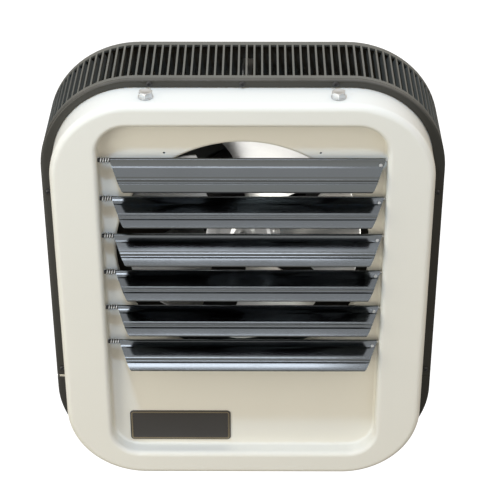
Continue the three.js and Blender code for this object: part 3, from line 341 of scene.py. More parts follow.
almond = paint("almond_baked_enamel", (229, 225, 214), 420.0, 0.025, 0.36, bump=0.00005, coat=0.05, shine=0.2)
bronze = paint("bronze_baked_enamel", (50, 48, 42), 500.0, 0.12, 0.32, bump=0.00005, dust=0.10)
# Same bronze enamel as the flange, painted lighter: painted light for the light on the band's bars and tabs.
bronze_band_painted_light = paint("bronze_enamel_painted_light_band", (84, 83, 76), 500.0, 0.10, 0.36, bump=0.00005, dust=0.06)
louvre_metal = drawn("mill_aluminium", (107, 113, 118), 1100.0, 0.002, 0.03, 0.12, metallic=1.0,
                     strength=0.02)
fan_metal = drawn("fan_aluminium", (252, 252, 252), 500.0, 0.3, 0.08, 0.3, metallic=0.9, strength=0.2)
zinc = paint("bright_zinc", (205, 208, 212), 1500.0, 0.12, 0.3, metallic=1.0)
galvanised = finish("galvanised_sheet", CRYSTALS, {"Colour": linear(172, 175, 178), "Size": 170.0,
                                                   "Contrast": 0.3, "Roughness": 0.38}, metallic=1.0)
black_enamel = paint("black_enamel", (38, 37, 38), 600.0, 0.1, 0.4, bump=0.00004)
sheath = drawn("element_sheath", (196, 188, 176), 900.0, 0.5, 0.3, 0.2, metallic=1.0)
black_plastic = paint("moulded_plastic", (30, 30, 32), 900.0, 0.15, 0.5, bump=0.00002)
copper = drawn("lacquered_copper", (176, 104, 62), 1600.0, 0.02, 0.3, 0.36, metallic=0.9, bump=0.00003)
badge_field = paint("badge_charcoal", (60, 57, 54), 2000.0, 0.08, 0.35, coat=0.3)
badge_line = drawn("badge_bronze_line", (178, 162, 130), 1500.0, 0.012, 0.1, 0.35, metallic=0.8)
print(f"{len(bpy.data.materials)} materials")

# %% [markdown]
# ## How the new pieces are made
#
# Every new piece is a surface of two parameters, worked out as one array: rings of points along an outline,
# carried over a profile. One helper gives a rounded outline, one softens the corners of a profile with arcs,
# and others join the rows of a grid by four-sided faces, turn a profile round an axis and close the ends of
# a tube. The last lays the result into Blender at the origin, with its faces pointing out and its sharp
# edges kept sharp.

# %% Shapes worked out as arrays
TO_FRAME = np.array([0.0, 17.5, -199.1])  # from the middle of the flange to the frame's origin, in mm
RIGHTWARD, FORWARD, REARWARD, UP, DOWN = (1, 0, 0), (0, -1, 0), (0, 1, 0), (0, 0, 1), (0, 0, -1)


def full_turn(steps):
    """The angles of a whole turn in equal steps from nothing."""
    return np.arange(steps) / steps * 2 * np.pi


def circle(angle):
    """The point (cos a, sin a) for each angle."""
    return np.stack([np.cos(angle), np.sin(angle)], -1)


def unit(vectors):
    """Each row divided by its length."""
    return vectors / np.linalg.norm(vectors, axis=-1)[..., None]


def rounded_outline(half_width, top, bottom, radius, arc_steps, side_steps):
    """A rounded rectangle in X and Z, anticlockwise from the right: corner centre + radius (cos, sin) on each
    arc, and equal parts of the straight line between one arc and the next. Sizes may be columns of numbers,
    and then there is one outline for each row."""
    half_width, top, bottom, radius = [
        np.asarray(v, float).reshape(-1, 1, 1) for v in np.broadcast_arrays(half_width, top, bottom, radius)
    ]
    quarter = np.arange(4).reshape(1, 4, 1)
    angle = (quarter + np.arange(arc_steps + 1) / arc_steps) * np.pi / 2
    sign_x = np.array([1, -1, -1, 1]).reshape(1, 4, 1)
    centre_z = np.where(quarter < 2, top - radius, bottom + radius)
    x = sign_x * (half_width - radius) + radius * np.cos(angle)
    z = centre_z + radius * np.sin(angle)
    arcs = np.stack([x, z], -1)
    start, end = arcs[:, :, -1:], np.roll(arcs, -1, axis=1)[:, :, :1]
    part = (np.arange(1, side_steps) / side_steps).reshape(1, 1, -1, 1)
    return np.concatenate([arcs, start + (end - start) * part], axis=2).reshape(len(radius), -1, 2)


def soft_corners(path, radius, steps=5, closed=False):
    """Rounds the corners of a flat path with arcs. An arc starts radius * tan(turn / 2) before its corner,
    and at angle a it lies at start + radius * (sin a * along + (1 - cos a) * across)."""
    path = np.asarray(path, float)
    radius = np.broadcast_to(np.asarray(radius, float), (len(path),))
    before, after = path - np.roll(path, 1, axis=0), np.roll(path, -1, axis=0) - path
    len_before, len_after = np.linalg.norm(before, axis=1), np.linalg.norm(after, axis=1)
    along = before / np.maximum(len_before, 1e-9)[:, None]
    leave = after / np.maximum(len_after, 1e-9)[:, None]
    turn_angle = np.arctan2(along[:, 0] * leave[:, 1] - along[:, 1] * leave[:, 0], (along * leave).sum(1))
    half = np.tan(np.abs(turn_angle) / 2)
    if not closed:  # nothing else needs the end parts
        len_before[1], len_after[-2] = 2 * len_before[1], 2 * len_after[-2]
    room = 0.48 * np.minimum(len_before, len_after)
    radius = np.minimum(radius, room / np.maximum(half, 1e-6))
    across = np.sign(turn_angle)[:, None] * np.stack([-along[:, 1], along[:, 0]], -1)
    start = path - along * (radius * half)[:, None]
    angle = np.abs(turn_angle)[:, None] * np.linspace(0, 1, steps + 1)
    arcs = start[:, None] + radius[:, None, None] * (
        np.sin(angle)[..., None] * along[:, None] + (1 - np.cos(angle))[..., None] * across[:, None]
    )
    if closed:
        return arcs.reshape(-1, 2)
    return np.concatenate([path[:1], arcs[1:-1].reshape(-1, 2), path[-1:]])


def grid_faces(rows, columns, around=False, along=False):
    """The four-sided faces of a grid of rows x columns points. Around joins the last column to the first, and
    along the last row to the first."""
    r, c = np.meshgrid(np.arange(rows if along else rows - 1), np.arange(columns if around else columns - 1),
                       indexing="ij")
    r2, c2 = (r + 1) % rows, (c + 1) % columns
    corners = [r * columns + c, r * columns + c2, r2 * columns + c2, r2 * columns + c]
    return np.stack(corners, -1).reshape(-1, 4)


def skin(rings, along=False):
    """Rings of points and the faces between each ring and the next."""
    return rings, grid_faces(*rings.shape[:2], around=True, along=along)


def capped(rings):
    """A skin whose first and last rings are each filled by one face."""
    rows, columns = rings.shape[:2]
    faces = grid_faces(rows, columns, around=True).tolist()
    last = (rows - 1) * columns
    return rings, faces + [list(range(columns)), list(range(last, last + columns))[::-1]]


def ladder(count):
    """Four-sided faces across a loop of points whose second half runs back beside its first."""
    return [[i, i + 1, count - 2 - i, count - 1 - i] for i in range(count // 2 - 1)]


def lay(name, points, faces, material, body, slot, replaces=None, sharp=32, bevel=0.0, sheet=0.0,
        towards=None):
    """Puts points and faces into Blender as one piece. Closed forms get their faces turned out. An open sheet
    is turned so that most of it faces towards a direction, and then gets its thickness behind that side."""
    mesh = bpy.data.meshes.new(name)
    vertices = (np.asarray(points).reshape(-1, 3) + TO_FRAME) / 1000
    mesh.from_pydata(vertices, [], [list(map(int, f)) for f in faces])
    work = bmesh.new()
    work.from_mesh(mesh)
    bmesh.ops.remove_doubles(work, verts=work.verts, dist=1e-6)
    bmesh.ops.recalc_face_normals(work, faces=work.faces)
    if towards is not None:
        if sum(f.normal.dot(towards) * f.calc_area() for f in work.faces) < 0:
            bmesh.ops.reverse_faces(work, faces=work.faces)
    work.to_mesh(mesh)
    work.free()
    mesh.polygons.foreach_set("use_smooth", np.ones(len(mesh.polygons), bool))
    mesh.set_sharp_from_angle(angle=math.radians(sharp))
    mesh.materials.append(material)
    piece = bpy.data.objects.new(name, mesh)
    scene.collection.objects.link(piece)
    if sheet:
        wall = piece.modifiers.new("wall", "SOLIDIFY")
        wall.thickness, wall.offset, wall.use_even_offset = sheet / 1000, -1.0, True
        piece.modifiers.new("flats", "WEIGHTED_NORMAL").keep_sharp = True
    if bevel:
        edge = piece.modifiers.new("edge", "BEVEL")
        edge.width, edge.segments, edge.limit_method = bevel / 1000, 2, "ANGLE"
        edge.angle_limit, edge.harden_normals = math.radians(sharp), True
    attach(piece, body)
    if replaces:
        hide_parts(replaces)
    print(f"{name}: {len(mesh.polygons)} faces")


def spun(profile, angle):
    """A profile of radius and height at each angle round the third axis: (r cos a, r sin a, h)."""
    profile = np.asarray(profile, float)
    height = np.broadcast_to(profile[:, None, 1:], (len(profile), len(angle), 1))
    return np.concatenate([profile[:, None, :1] * circle(angle)[None], height], -1)


def set_on(points, centre, outward):
    """Turns a form that was made along its own third axis so that this axis points outward from a centre."""
    outward = np.asarray(outward, float)
    side = np.array([1.0, 0, 0]) if abs(outward[0]) < 0.9 else np.array([0, 1.0, 0])
    first = unit(side - outward * side.dot(outward))
    second = np.cross(outward, first)
    return points.reshape(-1, 3) @ np.array([first, second, outward]) + np.asarray(centre, float)


def turned(profile, centre, outward, steps=48, closed=False):
    """A profile turned round an axis that points outward from a centre. A closed profile is a ring's section,
    and an open one starts and ends on the axis."""
    points, faces = skin(spun(profile, full_turn(steps)), along=closed)
    return set_on(points, centre, outward), faces


def gathered(parts):
    """Several (points, faces) as one."""
    total, points, faces = 0, [], []
    for some, joined in parts:
        some = np.asarray(some).reshape(-1, 3)
        faces += [[int(i) + total for i in f] for f in joined]
        points.append(some)
        total += len(some)
    return np.concatenate(points), faces


# %% [markdown]
# ## Front panel
#
# The panel is one sheet of steel, drawn in a press: a wall, a broad rounded rim, a recess with a soft lip
# and a tight foot, a flat floor, and a round outlet whose edge is turned back. It could be boxes with
# bevels, but a drawn sheet never changes direction sharply, so its section is a path with a real radius at
# each bend. The path is carried round three outlines in turn: the panel, the recess and the outlet. The
# flat floor is then filled between two of these rings, round four small holes, and Solidify gives the whole
# sheet its millimetre.

# %% Front panel
PANEL_WIDTH, PANEL_HEIGHT, PANEL_CORNER = 333.0, 398.2, 73.0
CASE_WIDTH, CASE_HEIGHT, CASE_CORNER = 355.6, 412.75, 86.5
RECESS_WIDTH, RECESS_TOP, RECESS_BOTTOM, RECESS_CORNER = 249.0, 177.5, -173.5, 26.0
RIM_DEPTH, FLOOR_DEPTH, RIM_RADIUS, LIP_RADIUS, FOOT_RADIUS = -33.0, -18.0, 6.0, 4.5, 2.5
OUTLET_RADIUS, OUTLET_HEIGHT, OUTLET_LIP, OUTLET_BEND = 114.0, 42.0, 10.0, 3.0
PANEL_SHEET, PANEL_BACK, FLANGE_INSET = 1.0, 1.5, 2.0
ARCS, SIDES = 28, 10
FLOOR_HOLES = [(-67.5, 146.0), (67.5, 146.0), (94.5, -41.0), (-94.5, -41.0)]
FLOOR_HOLE_RADIUS = 1.1


def on_case(inset):
    """The case's outline, drawn in by each inset."""
    return rounded_outline(CASE_WIDTH / 2 - inset, CASE_HEIGHT / 2 - inset, inset - CASE_HEIGHT / 2,
                           CASE_CORNER - inset, ARCS, SIDES)


def on_panel(inset):
    """The panel's outline, drawn in by each inset."""
    return rounded_outline(PANEL_WIDTH / 2 - inset, PANEL_HEIGHT / 2 - inset, inset - PANEL_HEIGHT / 2,
                           PANEL_CORNER - inset, ARCS, SIDES)


def on_recess(inset):
    """The recess's outline, drawn in by each inset."""
    return rounded_outline(RECESS_WIDTH / 2 - inset, RECESS_TOP - inset, RECESS_BOTTOM + inset,
                           RECESS_CORNER - inset, ARCS, SIDES)


def on_circle(radius):
    """Circles about the fan's axis with as many points as the rounded outlines have, at angles in equal
    steps. The middle of the first corner's arc has its match at 45 degrees."""
    count = 4 * (ARCS + SIDES)
    angle = (np.arange(count) - (ARCS / 2)) / count * 2 * np.pi + np.pi / 4
    return np.asarray(radius, float).reshape(-1, 1, 1) * circle(angle)[None] + [0, OUTLET_HEIGHT]


def rings_at(outlines, depths):
    """Flat outlines in X and Z, each at its own depth."""
    depths = np.broadcast_to(np.asarray(depths, float).reshape(-1, 1), outlines.shape[:2])
    return np.stack([outlines[..., 0], depths, outlines[..., 1]], -1)


def flat_between(outer, inner, holes, depth):
    """Triangles that fill a flat sheet between two rings and round small holes. The first points are the
    outer ring's, then the inner ring's. A triangle lies in a hole if its middle is nearer than the hole's
    chords."""
    small = [np.array(centre) + radius * circle(full_turn(16)) for centre, radius in holes]
    loops = [outer[:, [0, 2]], inner[:, [0, 2]], *small]
    flat = np.concatenate(loops)
    edges, start = [], 0
    for loop in loops:
        index = np.arange(len(loop))
        edges += np.stack([start + index, start + (index + 1) % len(loop)], -1).tolist()
        start += len(loop)
    _, _, faces, *_ = delaunay_2d_cdt([tuple(p) for p in flat], edges, [], 1, 1e-7)
    faces = np.array(faces)
    middle = flat[faces].mean(1)
    keep = np.ones(len(faces), bool)
    for loop in loops[1:]:
        centre = loop.mean(0)
        reach = np.linalg.norm(loop[0] - centre) * math.cos(math.pi / len(loop)) * 0.9999
        keep &= np.linalg.norm(middle - centre, axis=1) > reach
    points = np.stack([flat[:, 0], np.full(len(flat), float(depth)), flat[:, 1]], -1)
    return points, faces[keep]


flange = rings_at(on_case(FLANGE_INSET), PANEL_BACK)
wall_path = soft_corners([(-3, PANEL_BACK), (0, PANEL_BACK), (0, RIM_DEPTH), (RIM_RADIUS + 1, RIM_DEPTH)],
                         [0, 1.2, RIM_RADIUS, 0], steps=12)
recess_path = soft_corners([(-LIP_RADIUS - 1, RIM_DEPTH), (0, RIM_DEPTH), (0, FLOOR_DEPTH),
                            (FOOT_RADIUS + 0.4, FLOOR_DEPTH)], [0, LIP_RADIUS, FOOT_RADIUS, 0], steps=10)
lip_path = soft_corners([(-OUTLET_BEND - 0.4, FLOOR_DEPTH), (0, FLOOR_DEPTH), (0, FLOOR_DEPTH + OUTLET_LIP)],
                        [0, OUTLET_BEND, 0], steps=8)
outer_rings = np.concatenate([flange, rings_at(on_panel(wall_path[:, 0]), wall_path[:, 1]),
                              rings_at(on_recess(recess_path[:, 0]), recess_path[:, 1])])
lip_rings = rings_at(on_circle(OUTLET_RADIUS - lip_path[:, 0]), lip_path[:, 1])
floor_holes = [(centre, FLOOR_HOLE_RADIUS) for centre in FLOOR_HOLES]
floor_fill = flat_between(outer_rings[-1], lip_rings[0], floor_holes, FLOOR_DEPTH)
lay("panel_sheet", *gathered([skin(outer_rings), skin(lip_rings), floor_fill]), almond, "case",
    "almond_paint", "front_panel", sheet=PANEL_SHEET, towards=FORWARD)

# %% [markdown]
# ## Bronze flange
#
# The dark frame is a flat flange round the panel whose outer edge is turned back round the case. Seen from
# the front it ends at a slit on each side, where the access door begins, so its outline is an arch and not a
# ring. The arch carries a closed section with a real bend radius, because that thin bright line along the
# bend is what tells the eye that this is folded sheet.

# %% Bronze flange
SHEET = 1.2
SPLIT = -104.5
FRAME_LIP = 4.5
PANEL_SLIT = 0.5


def arch(half_width, top, radius, feet, arc_steps=30, side_steps=6):
    """From the right foot up, over two quarter circles and down to the left foot. Sizes may be columns."""
    sizes = np.broadcast_arrays(half_width, top, radius)
    half_width, top, radius = [np.asarray(v, float).reshape(-1, 1) for v in sizes]
    quarter = np.linspace(0, np.pi / 2, arc_steps + 1).reshape(1, -1)
    part = (np.arange(side_steps) / side_steps).reshape(1, -1)
    lift = top - radius
    side = [np.stack([half_width + 0 * part, foot + (lift - foot) * part], -1) for foot in feet]
    x, z = half_width - radius + radius * np.cos(quarter), lift + radius * np.sin(quarter)
    bend = np.stack([x, z], -1)
    flip = np.array([-1.0, 1.0])
    across = (np.arange(1, side_steps) / side_steps).reshape(1, -1, 1)
    level = bend[:, -1:] * (1 - across) + bend[:, -1:] * flip * across
    return np.concatenate([side[0], bend, level, (bend * flip)[:, ::-1], (side[1] * flip)[:, ::-1]], axis=1)


def folded_frame(rear, feet):
    """The closed section of flange and wall, carried along an arch and closed at both feet. The wall follows
    the case's outline and the flange's inner edge follows the panel's."""
    wall = soft_corners([(4, 0), (0, 0), (0, rear), (SHEET, rear), (SHEET, SHEET), (4, SHEET)],
                        [0, 1.5, 0.3, 0.3, 0.4, 0], steps=5)
    lip = soft_corners([(-PANEL_SLIT - 1.5, SHEET), (-PANEL_SLIT, SHEET), (-PANEL_SLIT, 0),
                        (-PANEL_SLIT - 1.5, 0)], [0, 0.3, 0.3, 0], steps=3)
    on_wall = arch(CASE_WIDTH / 2 - wall[:, 0], CASE_HEIGHT / 2 - wall[:, 0], CASE_CORNER - wall[:, 0], feet)
    on_lip = arch(PANEL_WIDTH / 2 - lip[:, 0], PANEL_HEIGHT / 2 - lip[:, 0], PANEL_CORNER - lip[:, 0], feet)
    rings = np.concatenate([rings_at(on_wall, wall[:, 1]), rings_at(on_lip, lip[:, 1])])
    rows, columns = rings.shape[:2]
    first = [r * columns for r in range(rows)]
    ends = [first, [i + columns - 1 for i in first][::-1]]
    return rings, grid_faces(rows, columns, along=True).tolist() + ends


lay("bronze_flange", *folded_frame(FRAME_LIP, (SPLIT, SPLIT)), bronze, "case", "bronze_paint", "front_frame")

# %% [markdown]
# ## Access door
#
# The lower part of the case is a door that swings down on a pin at its back edge. It has the same section
# as the flange, carried round the bottom instead of the top, and its wall reaches the full depth. Two
# knuckles are rolled from its rear edge: a strip that runs in flat and curls nearly all the way round.

# %% Access door
DOOR_DEPTH = 77.7
DOOR_GAP_RIGHT, DOOR_GAP_LEFT = 0.8, 3.3
DOOR_KNUCKLES, DOOR_STRIP = (-56.7, 38.7), -12.0
HINGE_Y, HINGE_Z = 81.5, -203.375
PIN_RADIUS, KNUCKLE, KNUCKLE_SHEET = 1.5, 18.0, 1.3


def curl(left, start, direction):
    """A strip rolled round the hinge pin: it comes in along a flat line, then follows a circle round the
    pin's centre. Direction +1 rolls from below, -1 from above. The section is carried straight across."""
    middle = PIN_RADIUS + 0.3 + KNUCKLE_SHEET / 2
    angle = np.linspace(-np.pi / 2, np.pi * 1.30, 26)
    roll = np.stack([middle * np.cos(angle), direction * middle * np.sin(angle)], -1)
    centre = np.array([[start, -direction * middle], *roll])
    step = np.gradient(centre, axis=0)
    normal = unit(np.stack([-step[:, 1], step[:, 0]], -1)) * KNUCKLE_SHEET / 2
    loop = np.concatenate([centre + normal, (centre - normal)[::-1]])
    section = np.stack([np.zeros(len(loop)), loop[:, 0] + HINGE_Y, loop[:, 1] + HINGE_Z], -1)
    rings, faces = skin(np.stack([section + [left, 0, 0], section + [left + KNUCKLE, 0, 0]]))
    strip = ladder(len(loop))
    return rings, faces.tolist() + strip + [[i + len(loop) for i in f][::-1] for f in strip]


door_rings, door_faces = folded_frame(DOOR_DEPTH, (-SPLIT + DOOR_GAP_RIGHT, -SPLIT + DOOR_GAP_LEFT))
door_curls = [curl(left, DOOR_STRIP, 1) for left in DOOR_KNUCKLES]
lay("access_door_shell", *gathered([(door_rings * [1, 1, -1], door_faces), *door_curls]), bronze, "door",
    "bronze_paint", "access_door")

# %% [markdown]
# ## Louvres
#
# A louvre is an extrusion: one section for its whole length. The section has a round bead with a groove for
# the rod, a shallow valley, a raised line, a groove and a flat lower band, and each of them makes its own
# stripe of light. The section's points are softened with small arcs and carried across, and both ends are
# mitred by moving each point in by its distance from the rod. Six copies are turned by the tilts that the
# photograph shows.

# %% Louvres
PIVOT_DEPTH = -26.0
PIVOT_HEIGHTS = 143.4 - 38.1 * np.arange(6)
TILTS = np.radians([37, 53, 46.8, 54, 53.8, 51])
LOUVRE_LENGTH, LOUVRE_SKIN, BULGE = 28.6, 0.6, 0.3
BEAD, BORE = 2.0, 1.5
BLADE_LEFT, BLADE_RIGHT = -113.7, 122.8
END_SLOPE, END_ROUND, END_CHAMFER = math.radians(20), 3.0, 0.35
SHOWN_FACE = [  # distance from the rod and rise, from the lower edge up to the bead
    (LOUVRE_LENGTH, 1.05), (28.35, 1.5), (27.6, 1.85), (21.3, 1.85), (20.6, 1.7), (20.1, 1.25), (18.6, 1.2),
    (18.1, 1.6), (17.3, 1.82), (16.9, 1.7), (15.6, 1.7), (15.2, 1.87), (14.7, 1.9), (7.0, 1.70), (5.7, 1.5),
    (5.3, 1.52),
]
REAR_FACE = [(3.2, 0.8), (8, 1.1), (14, 1.1), (20, 1.05), (LOUVRE_LENGTH - 0.4, 1.2)]


def bulged(face):
    """A face's points, raised by the parabola 4 b (u / L)(1 - u / L)."""
    face = np.array(face, float)
    face[:, 1] += BULGE * 4 * (face[:, 0] / LOUVRE_LENGTH) * (1 - face[:, 0] / LOUVRE_LENGTH)
    return face


def louvre_section():
    """The section as distances u from the rod and rises v to the shown face. Both faces ride on one parabola,
    and bead and groove are arcs of circles round the rod."""
    bead = BEAD * circle(np.radians(np.linspace(64, 295, 18)))
    bore = BORE * circle(np.radians(np.linspace(295, -15, 20)))
    shown, rear = bulged(SHOWN_FACE), bulged(REAR_FACE) - [0, LOUVRE_SKIN]
    radii = [0.5] * len(shown) + [0.0] * (len(bead) + len(bore)) + [0.3] * len(rear)
    return soft_corners(np.concatenate([shown, bead, bore, rear]), radii, steps=3, closed=True)


def louvre_form():
    """The section carried from left to right. Each end comes in by tan 20 degrees of its distance from the
    bead, and by an arc of radius R at the lower corner: R - sqrt(R R - past past)."""
    u, v = louvre_section().T
    past = np.clip(u - (LOUVRE_LENGTH - END_ROUND), 0, 0.9 * END_ROUND)
    inset = np.maximum(0, u - BEAD / 2) * math.tan(END_SLOPE) + END_ROUND - np.sqrt(END_ROUND**2 - past**2)
    left, right = BLADE_LEFT + inset, BLADE_RIGHT - inset
    x = np.stack([left, left + END_CHAMFER, right - END_CHAMFER, right])
    return capped(np.stack([x, np.broadcast_to(-v, x.shape), np.broadcast_to(-u, x.shape)], -1))


def about_pivot(points, index):
    """Tilts a louvre's own points about the rod and sets them at its height."""
    c, s = math.cos(TILTS[index]), math.sin(TILTS[index])
    x, y, z = np.moveaxis(np.asarray(points), -1, 0)
    return np.stack([x, y * c + z * s + PIVOT_DEPTH, z * c - y * s + PIVOT_HEIGHTS[index]], -1)


points, faces = louvre_form()
for k in range(6):
    lay(f"louvre_{k + 1}_extrusion", about_pivot(points, k), faces, louvre_metal, f"louvre_{k + 1}",
        "louvre_aluminium", f"louvre_blade_{k + 1}", sharp=30)

# %% [markdown]
# ## Rods and springs
#
# Each louvre turns on a steel rod with rounded ends. A small coil at the left holds the blade against the
# other side, so that it stays where it is put. The coil is a wire carried along a helix: the wire's own ring
# of points is set square to the helix at every step. Inside the coil a black sleeve keeps it off the rod, and
# its black is painted shade: the dark that shows between the turns. A small rivet near the blade's right end
# holds the blade to the rod.

# %% Rods and springs
ROD_RADIUS, ROD_END = 1.2, 128.5
SPRING_LENGTH, SPRING_RADIUS, WIRE, CURLS = 10.9, 2.6, 0.55, 4.0
CURL_STEPS = 28
LEFT_WALL = -RECESS_WIDTH / 2 + 0.3
SLEEVE_RADIUS, SLEEVE_LENGTH = 1.9, 10.4
PIN = [(0, 0.5), (0.5, 0.5), (0.75, 1.1), (1.15, 1.1), (1.5, 0.6), (1.5, -0.2), (0, -0.2)]
PIN_PLACE = (118.6, -1.55, -4.6)  # on a blade that hangs straight down, from the middle of its rod


def wire(path, radius, sides=10, outward=None):
    """A round wire: at each point of the path a ring radius * (cos a * n + sin a * b), where n and b are
    square to the path. n leans outward, or else along the axis that the path turns to least, so it never
    twists."""
    path = np.asarray(path, float)
    along = unit(np.gradient(path, axis=0))
    if outward is None:
        outward = np.eye(3)[np.argmin(np.abs(along).max(0))]
    n = unit(outward - along * (outward * along).sum(1)[:, None])
    b = np.cross(along, n)
    cosine, sine = circle(full_turn(sides)).T[:, None, :, None]
    radius = np.broadcast_to(np.asarray(radius, float), (len(path),)).reshape(-1, 1, 1)
    return capped(path[:, None] + radius * (cosine * n[:, None] + sine * b[:, None]))


rod_x = np.array([-ROD_END, -ROD_END + 0.15, -ROD_END + 0.5, ROD_END - 0.5, ROD_END - 0.15, ROD_END])
rod_path = np.stack([rod_x, 0 * rod_x, 0 * rod_x], -1)
rod_points, rod_faces = wire(rod_path, ROD_RADIUS - np.array([0.5, 0.15, 0, 0, 0.15, 0.5]), sides=20)
turns = np.linspace(0, 1, int(CURLS * CURL_STEPS) + 1)
coil_x = LEFT_WALL + 2 * WIRE + (SPRING_LENGTH - 4 * WIRE) * turns
coil = np.stack([coil_x, SPRING_RADIUS * np.sin(2 * np.pi * CURLS * turns),
                 SPRING_RADIUS * np.cos(2 * np.pi * CURLS * turns)], -1)
coil = np.concatenate([[[LEFT_WALL, 0, SPRING_RADIUS]], coil, [coil[-1] + [2 * WIRE, 0, 0]]])
coil_points, coil_faces = wire(coil, WIRE, outward=coil * [0, 1, 1])
sleeve_path = [(0, 0), (SLEEVE_RADIUS, 0), (SLEEVE_RADIUS, SLEEVE_LENGTH), (0, SLEEVE_LENGTH)]
sleeve_points, sleeve_faces = turned(soft_corners(sleeve_path, 0.2, steps=3), (LEFT_WALL + 0.1, 0, 0),
                                     RIGHTWARD, 28)
pin_points, pin_faces = turned(soft_corners(PIN, 0.2, steps=3), PIN_PLACE, FORWARD, 28)
for k in range(6):
    louvre = f"louvre_{k + 1}"
    lay(f"{louvre}_rod", about_pivot(rod_points, k), rod_faces, zinc, louvre, "zinc", f"louvre_rod_{k + 1}")
    # Painted shade: the black sleeve fills the coil, so the gaps between its turns show dark.
    lay(f"{louvre}_shade_sleeve", about_pivot(sleeve_points, k), sleeve_faces, black_plastic, louvre,
        "black_plastic")
    lay(f"{louvre}_spring", coil_points + [0, PIVOT_DEPTH, PIVOT_HEIGHTS[k]], coil_faces, zinc, "case",
        "zinc", f"louvre_spring_{k + 1}", sharp=60)
    lay(f"{louvre}_pin", about_pivot(pin_points, k), pin_faces, zinc, louvre, "zinc")

# %% [markdown]
# ## Fan
#
# The blades of a quiet heater fan are broad paddles of bright sheet, each a piece of a screw surface: its
# depth grows in proportion to its angle round the shaft, and a little camber bends it. Two sheets a
# millimetre and a half apart are joined round their edge, so every blade has a real rim to catch light.
# The spider, its rivets, the hub and the shaft are turned forms.

# %% Fan
FAN_BLADES, FAN_RADIUS, FAN_MIDDLE, SWEEP, CAMBER = 5, 107.0, 16.0, 33.0, 5.0
BLADE_ANGLE, BLADE_SHEET, BLADE_ROOT = math.radians(60), 1.4, 8.0
SPIDER, SHAFT = 34.0, 4.0
SHAFT_BORE = SHAFT + 0.3
RIVET_RING, RIVET_ASIDE, RIVET_RADIUS, RIVET_RISE = 29.5, 0.17, 2.2, 1.1
HUB_FRONT, SHAFT_FRONT, SHAFT_LENGTH = 17.3, 8.0, 43.7


def on_axis(depth):
    """A point on the fan's axis."""
    return np.array([0, depth, OUTLET_HEIGHT])


def paddle(index, rows=18, columns=22):
    """Reach t runs from root to tip and c across from -1/2 to 1/2. Radius = inner + (outer - inner)
    sin(90 t), less 6 per cent at the tip's corners. Angle = middle + c * spread. Depth = middle + c *
    spread / full * sweep - camber (1 - 4 c c) t."""
    t, c = np.meshgrid(np.linspace(0, 1, rows), np.linspace(-0.5, 0.5, columns), indexing="ij")
    inner = SPIDER - BLADE_ROOT
    radius = (inner + (FAN_RADIUS - inner) * np.sin(t * np.pi / 2)) * (1 - 0.06 * t * (2 * c) ** 4)
    spread = BLADE_ANGLE * (0.42 + 0.58 * np.minimum(1, t * 1.7))
    angle = index * 2 * np.pi / FAN_BLADES + c * spread
    depth = FAN_MIDDLE + c * spread / BLADE_ANGLE * SWEEP - CAMBER * (1 - 4 * c * c) * t
    face = np.stack([radius * np.cos(angle), depth, OUTLET_HEIGHT + radius * np.sin(angle)], -1)
    loops, faces = skin(np.concatenate([face, face[:, ::-1] + [0, BLADE_SHEET, 0]], axis=1))
    strip, last = ladder(2 * columns), (rows - 1) * 2 * columns
    return loops, faces.tolist() + [f[::-1] for f in strip] + [[i + last for i in f] for f in strip]


def rivet(angle):
    """A low dome on the spider: radius r cos a and rise h sin a, closed behind."""
    a = np.linspace(np.pi / 2, 0, 7)
    dome = np.stack([RIVET_RADIUS * np.cos(a), RIVET_RISE * np.sin(a)], -1)
    profile = np.concatenate([dome, [[RIVET_RADIUS, -0.5], [0, -0.5]]])
    centre = on_axis(FAN_MIDDLE - 1) + RIVET_RING * np.array([math.cos(angle), 0, math.sin(angle)])
    return turned(profile, centre, FORWARD, steps=20)


lay("fan_paddles", *gathered([paddle(i) for i in range(FAN_BLADES)]), fan_metal, "fan", "fan_aluminium",
    "fan_wheel", bevel=0.35)

spider_path = soft_corners([(SHAFT_BORE, 0), (9, 0), (12, 1.4), (22, 1.4), (25, 0), (SPIDER, 0), (SPIDER, 2),
                            (25, 2), (22, 3.2), (12, 3.2), (9, 2), (SHAFT_BORE, 2)], 1.2, steps=4)
spider_path[:, 1] = 1 - spider_path[:, 1]
rivets = [rivet(i * 2 * math.pi / FAN_BLADES + side * RIVET_ASIDE)
          for i in range(FAN_BLADES) for side in (-1, 1)]
lay("fan_spider", *gathered([turned(spider_path, on_axis(FAN_MIDDLE), FORWARD, 60, closed=True), *rivets]),
    fan_metal, "fan", "fan_aluminium")

hub_path = soft_corners([(0, 0), (16.2, 0), (16.2, 2), (9, 4), (9, 17), (0, 17)], 0.6, steps=3)
lay("fan_hub_turning", *turned(hub_path, on_axis(HUB_FRONT), REARWARD), zinc, "fan", "zinc", "fan_hub")
shaft_path = soft_corners([(0, 0), (SHAFT, 0), (SHAFT, SHAFT_LENGTH), (0, SHAFT_LENGTH)], 0.7, steps=4)
lay("motor_shaft_ground", *turned(shaft_path, on_axis(SHAFT_FRONT), REARWARD, 32), zinc, "fan", "zinc",
    "motor_shaft")

# %% [markdown]
# ## Motor and its cover
#
# The motor is a can between two domed end bells. Behind it the case carries a drawn cover with a row of
# slots for cooling air. The cover is one surface turned about the fan's axis: the columns are set closer
# beside each slot, and the cells that lie on a slot are simply left out before the sheet gets its thickness.

# %% Motor and its cover
MOTOR_FRONT = 42.0
COVER_FLANGE, COVER_RADIUS, COVER_LENGTH, COVER_FOOT = 74.0, 64.0, 79.2, 78.3
VENTS, VENT_ROWS, VENT_HALF_WIDTH = 12, (15.7, 43.2), 3.0

motor_path = soft_corners([(0, 0), (12, 0), (12, 3), (35, 3), (41, 9), (41, 71), (35, 77), (12, 77), (12, 80),
                           (0, 80)], [0, 0.5, 1, 4, 4, 4, 4, 1, 0.5, 0], steps=5)
lay("motor_can", *turned(motor_path, on_axis(MOTOR_FRONT), REARWARD, 64), black_enamel, "case",
    "black_enamel", "motor_body")


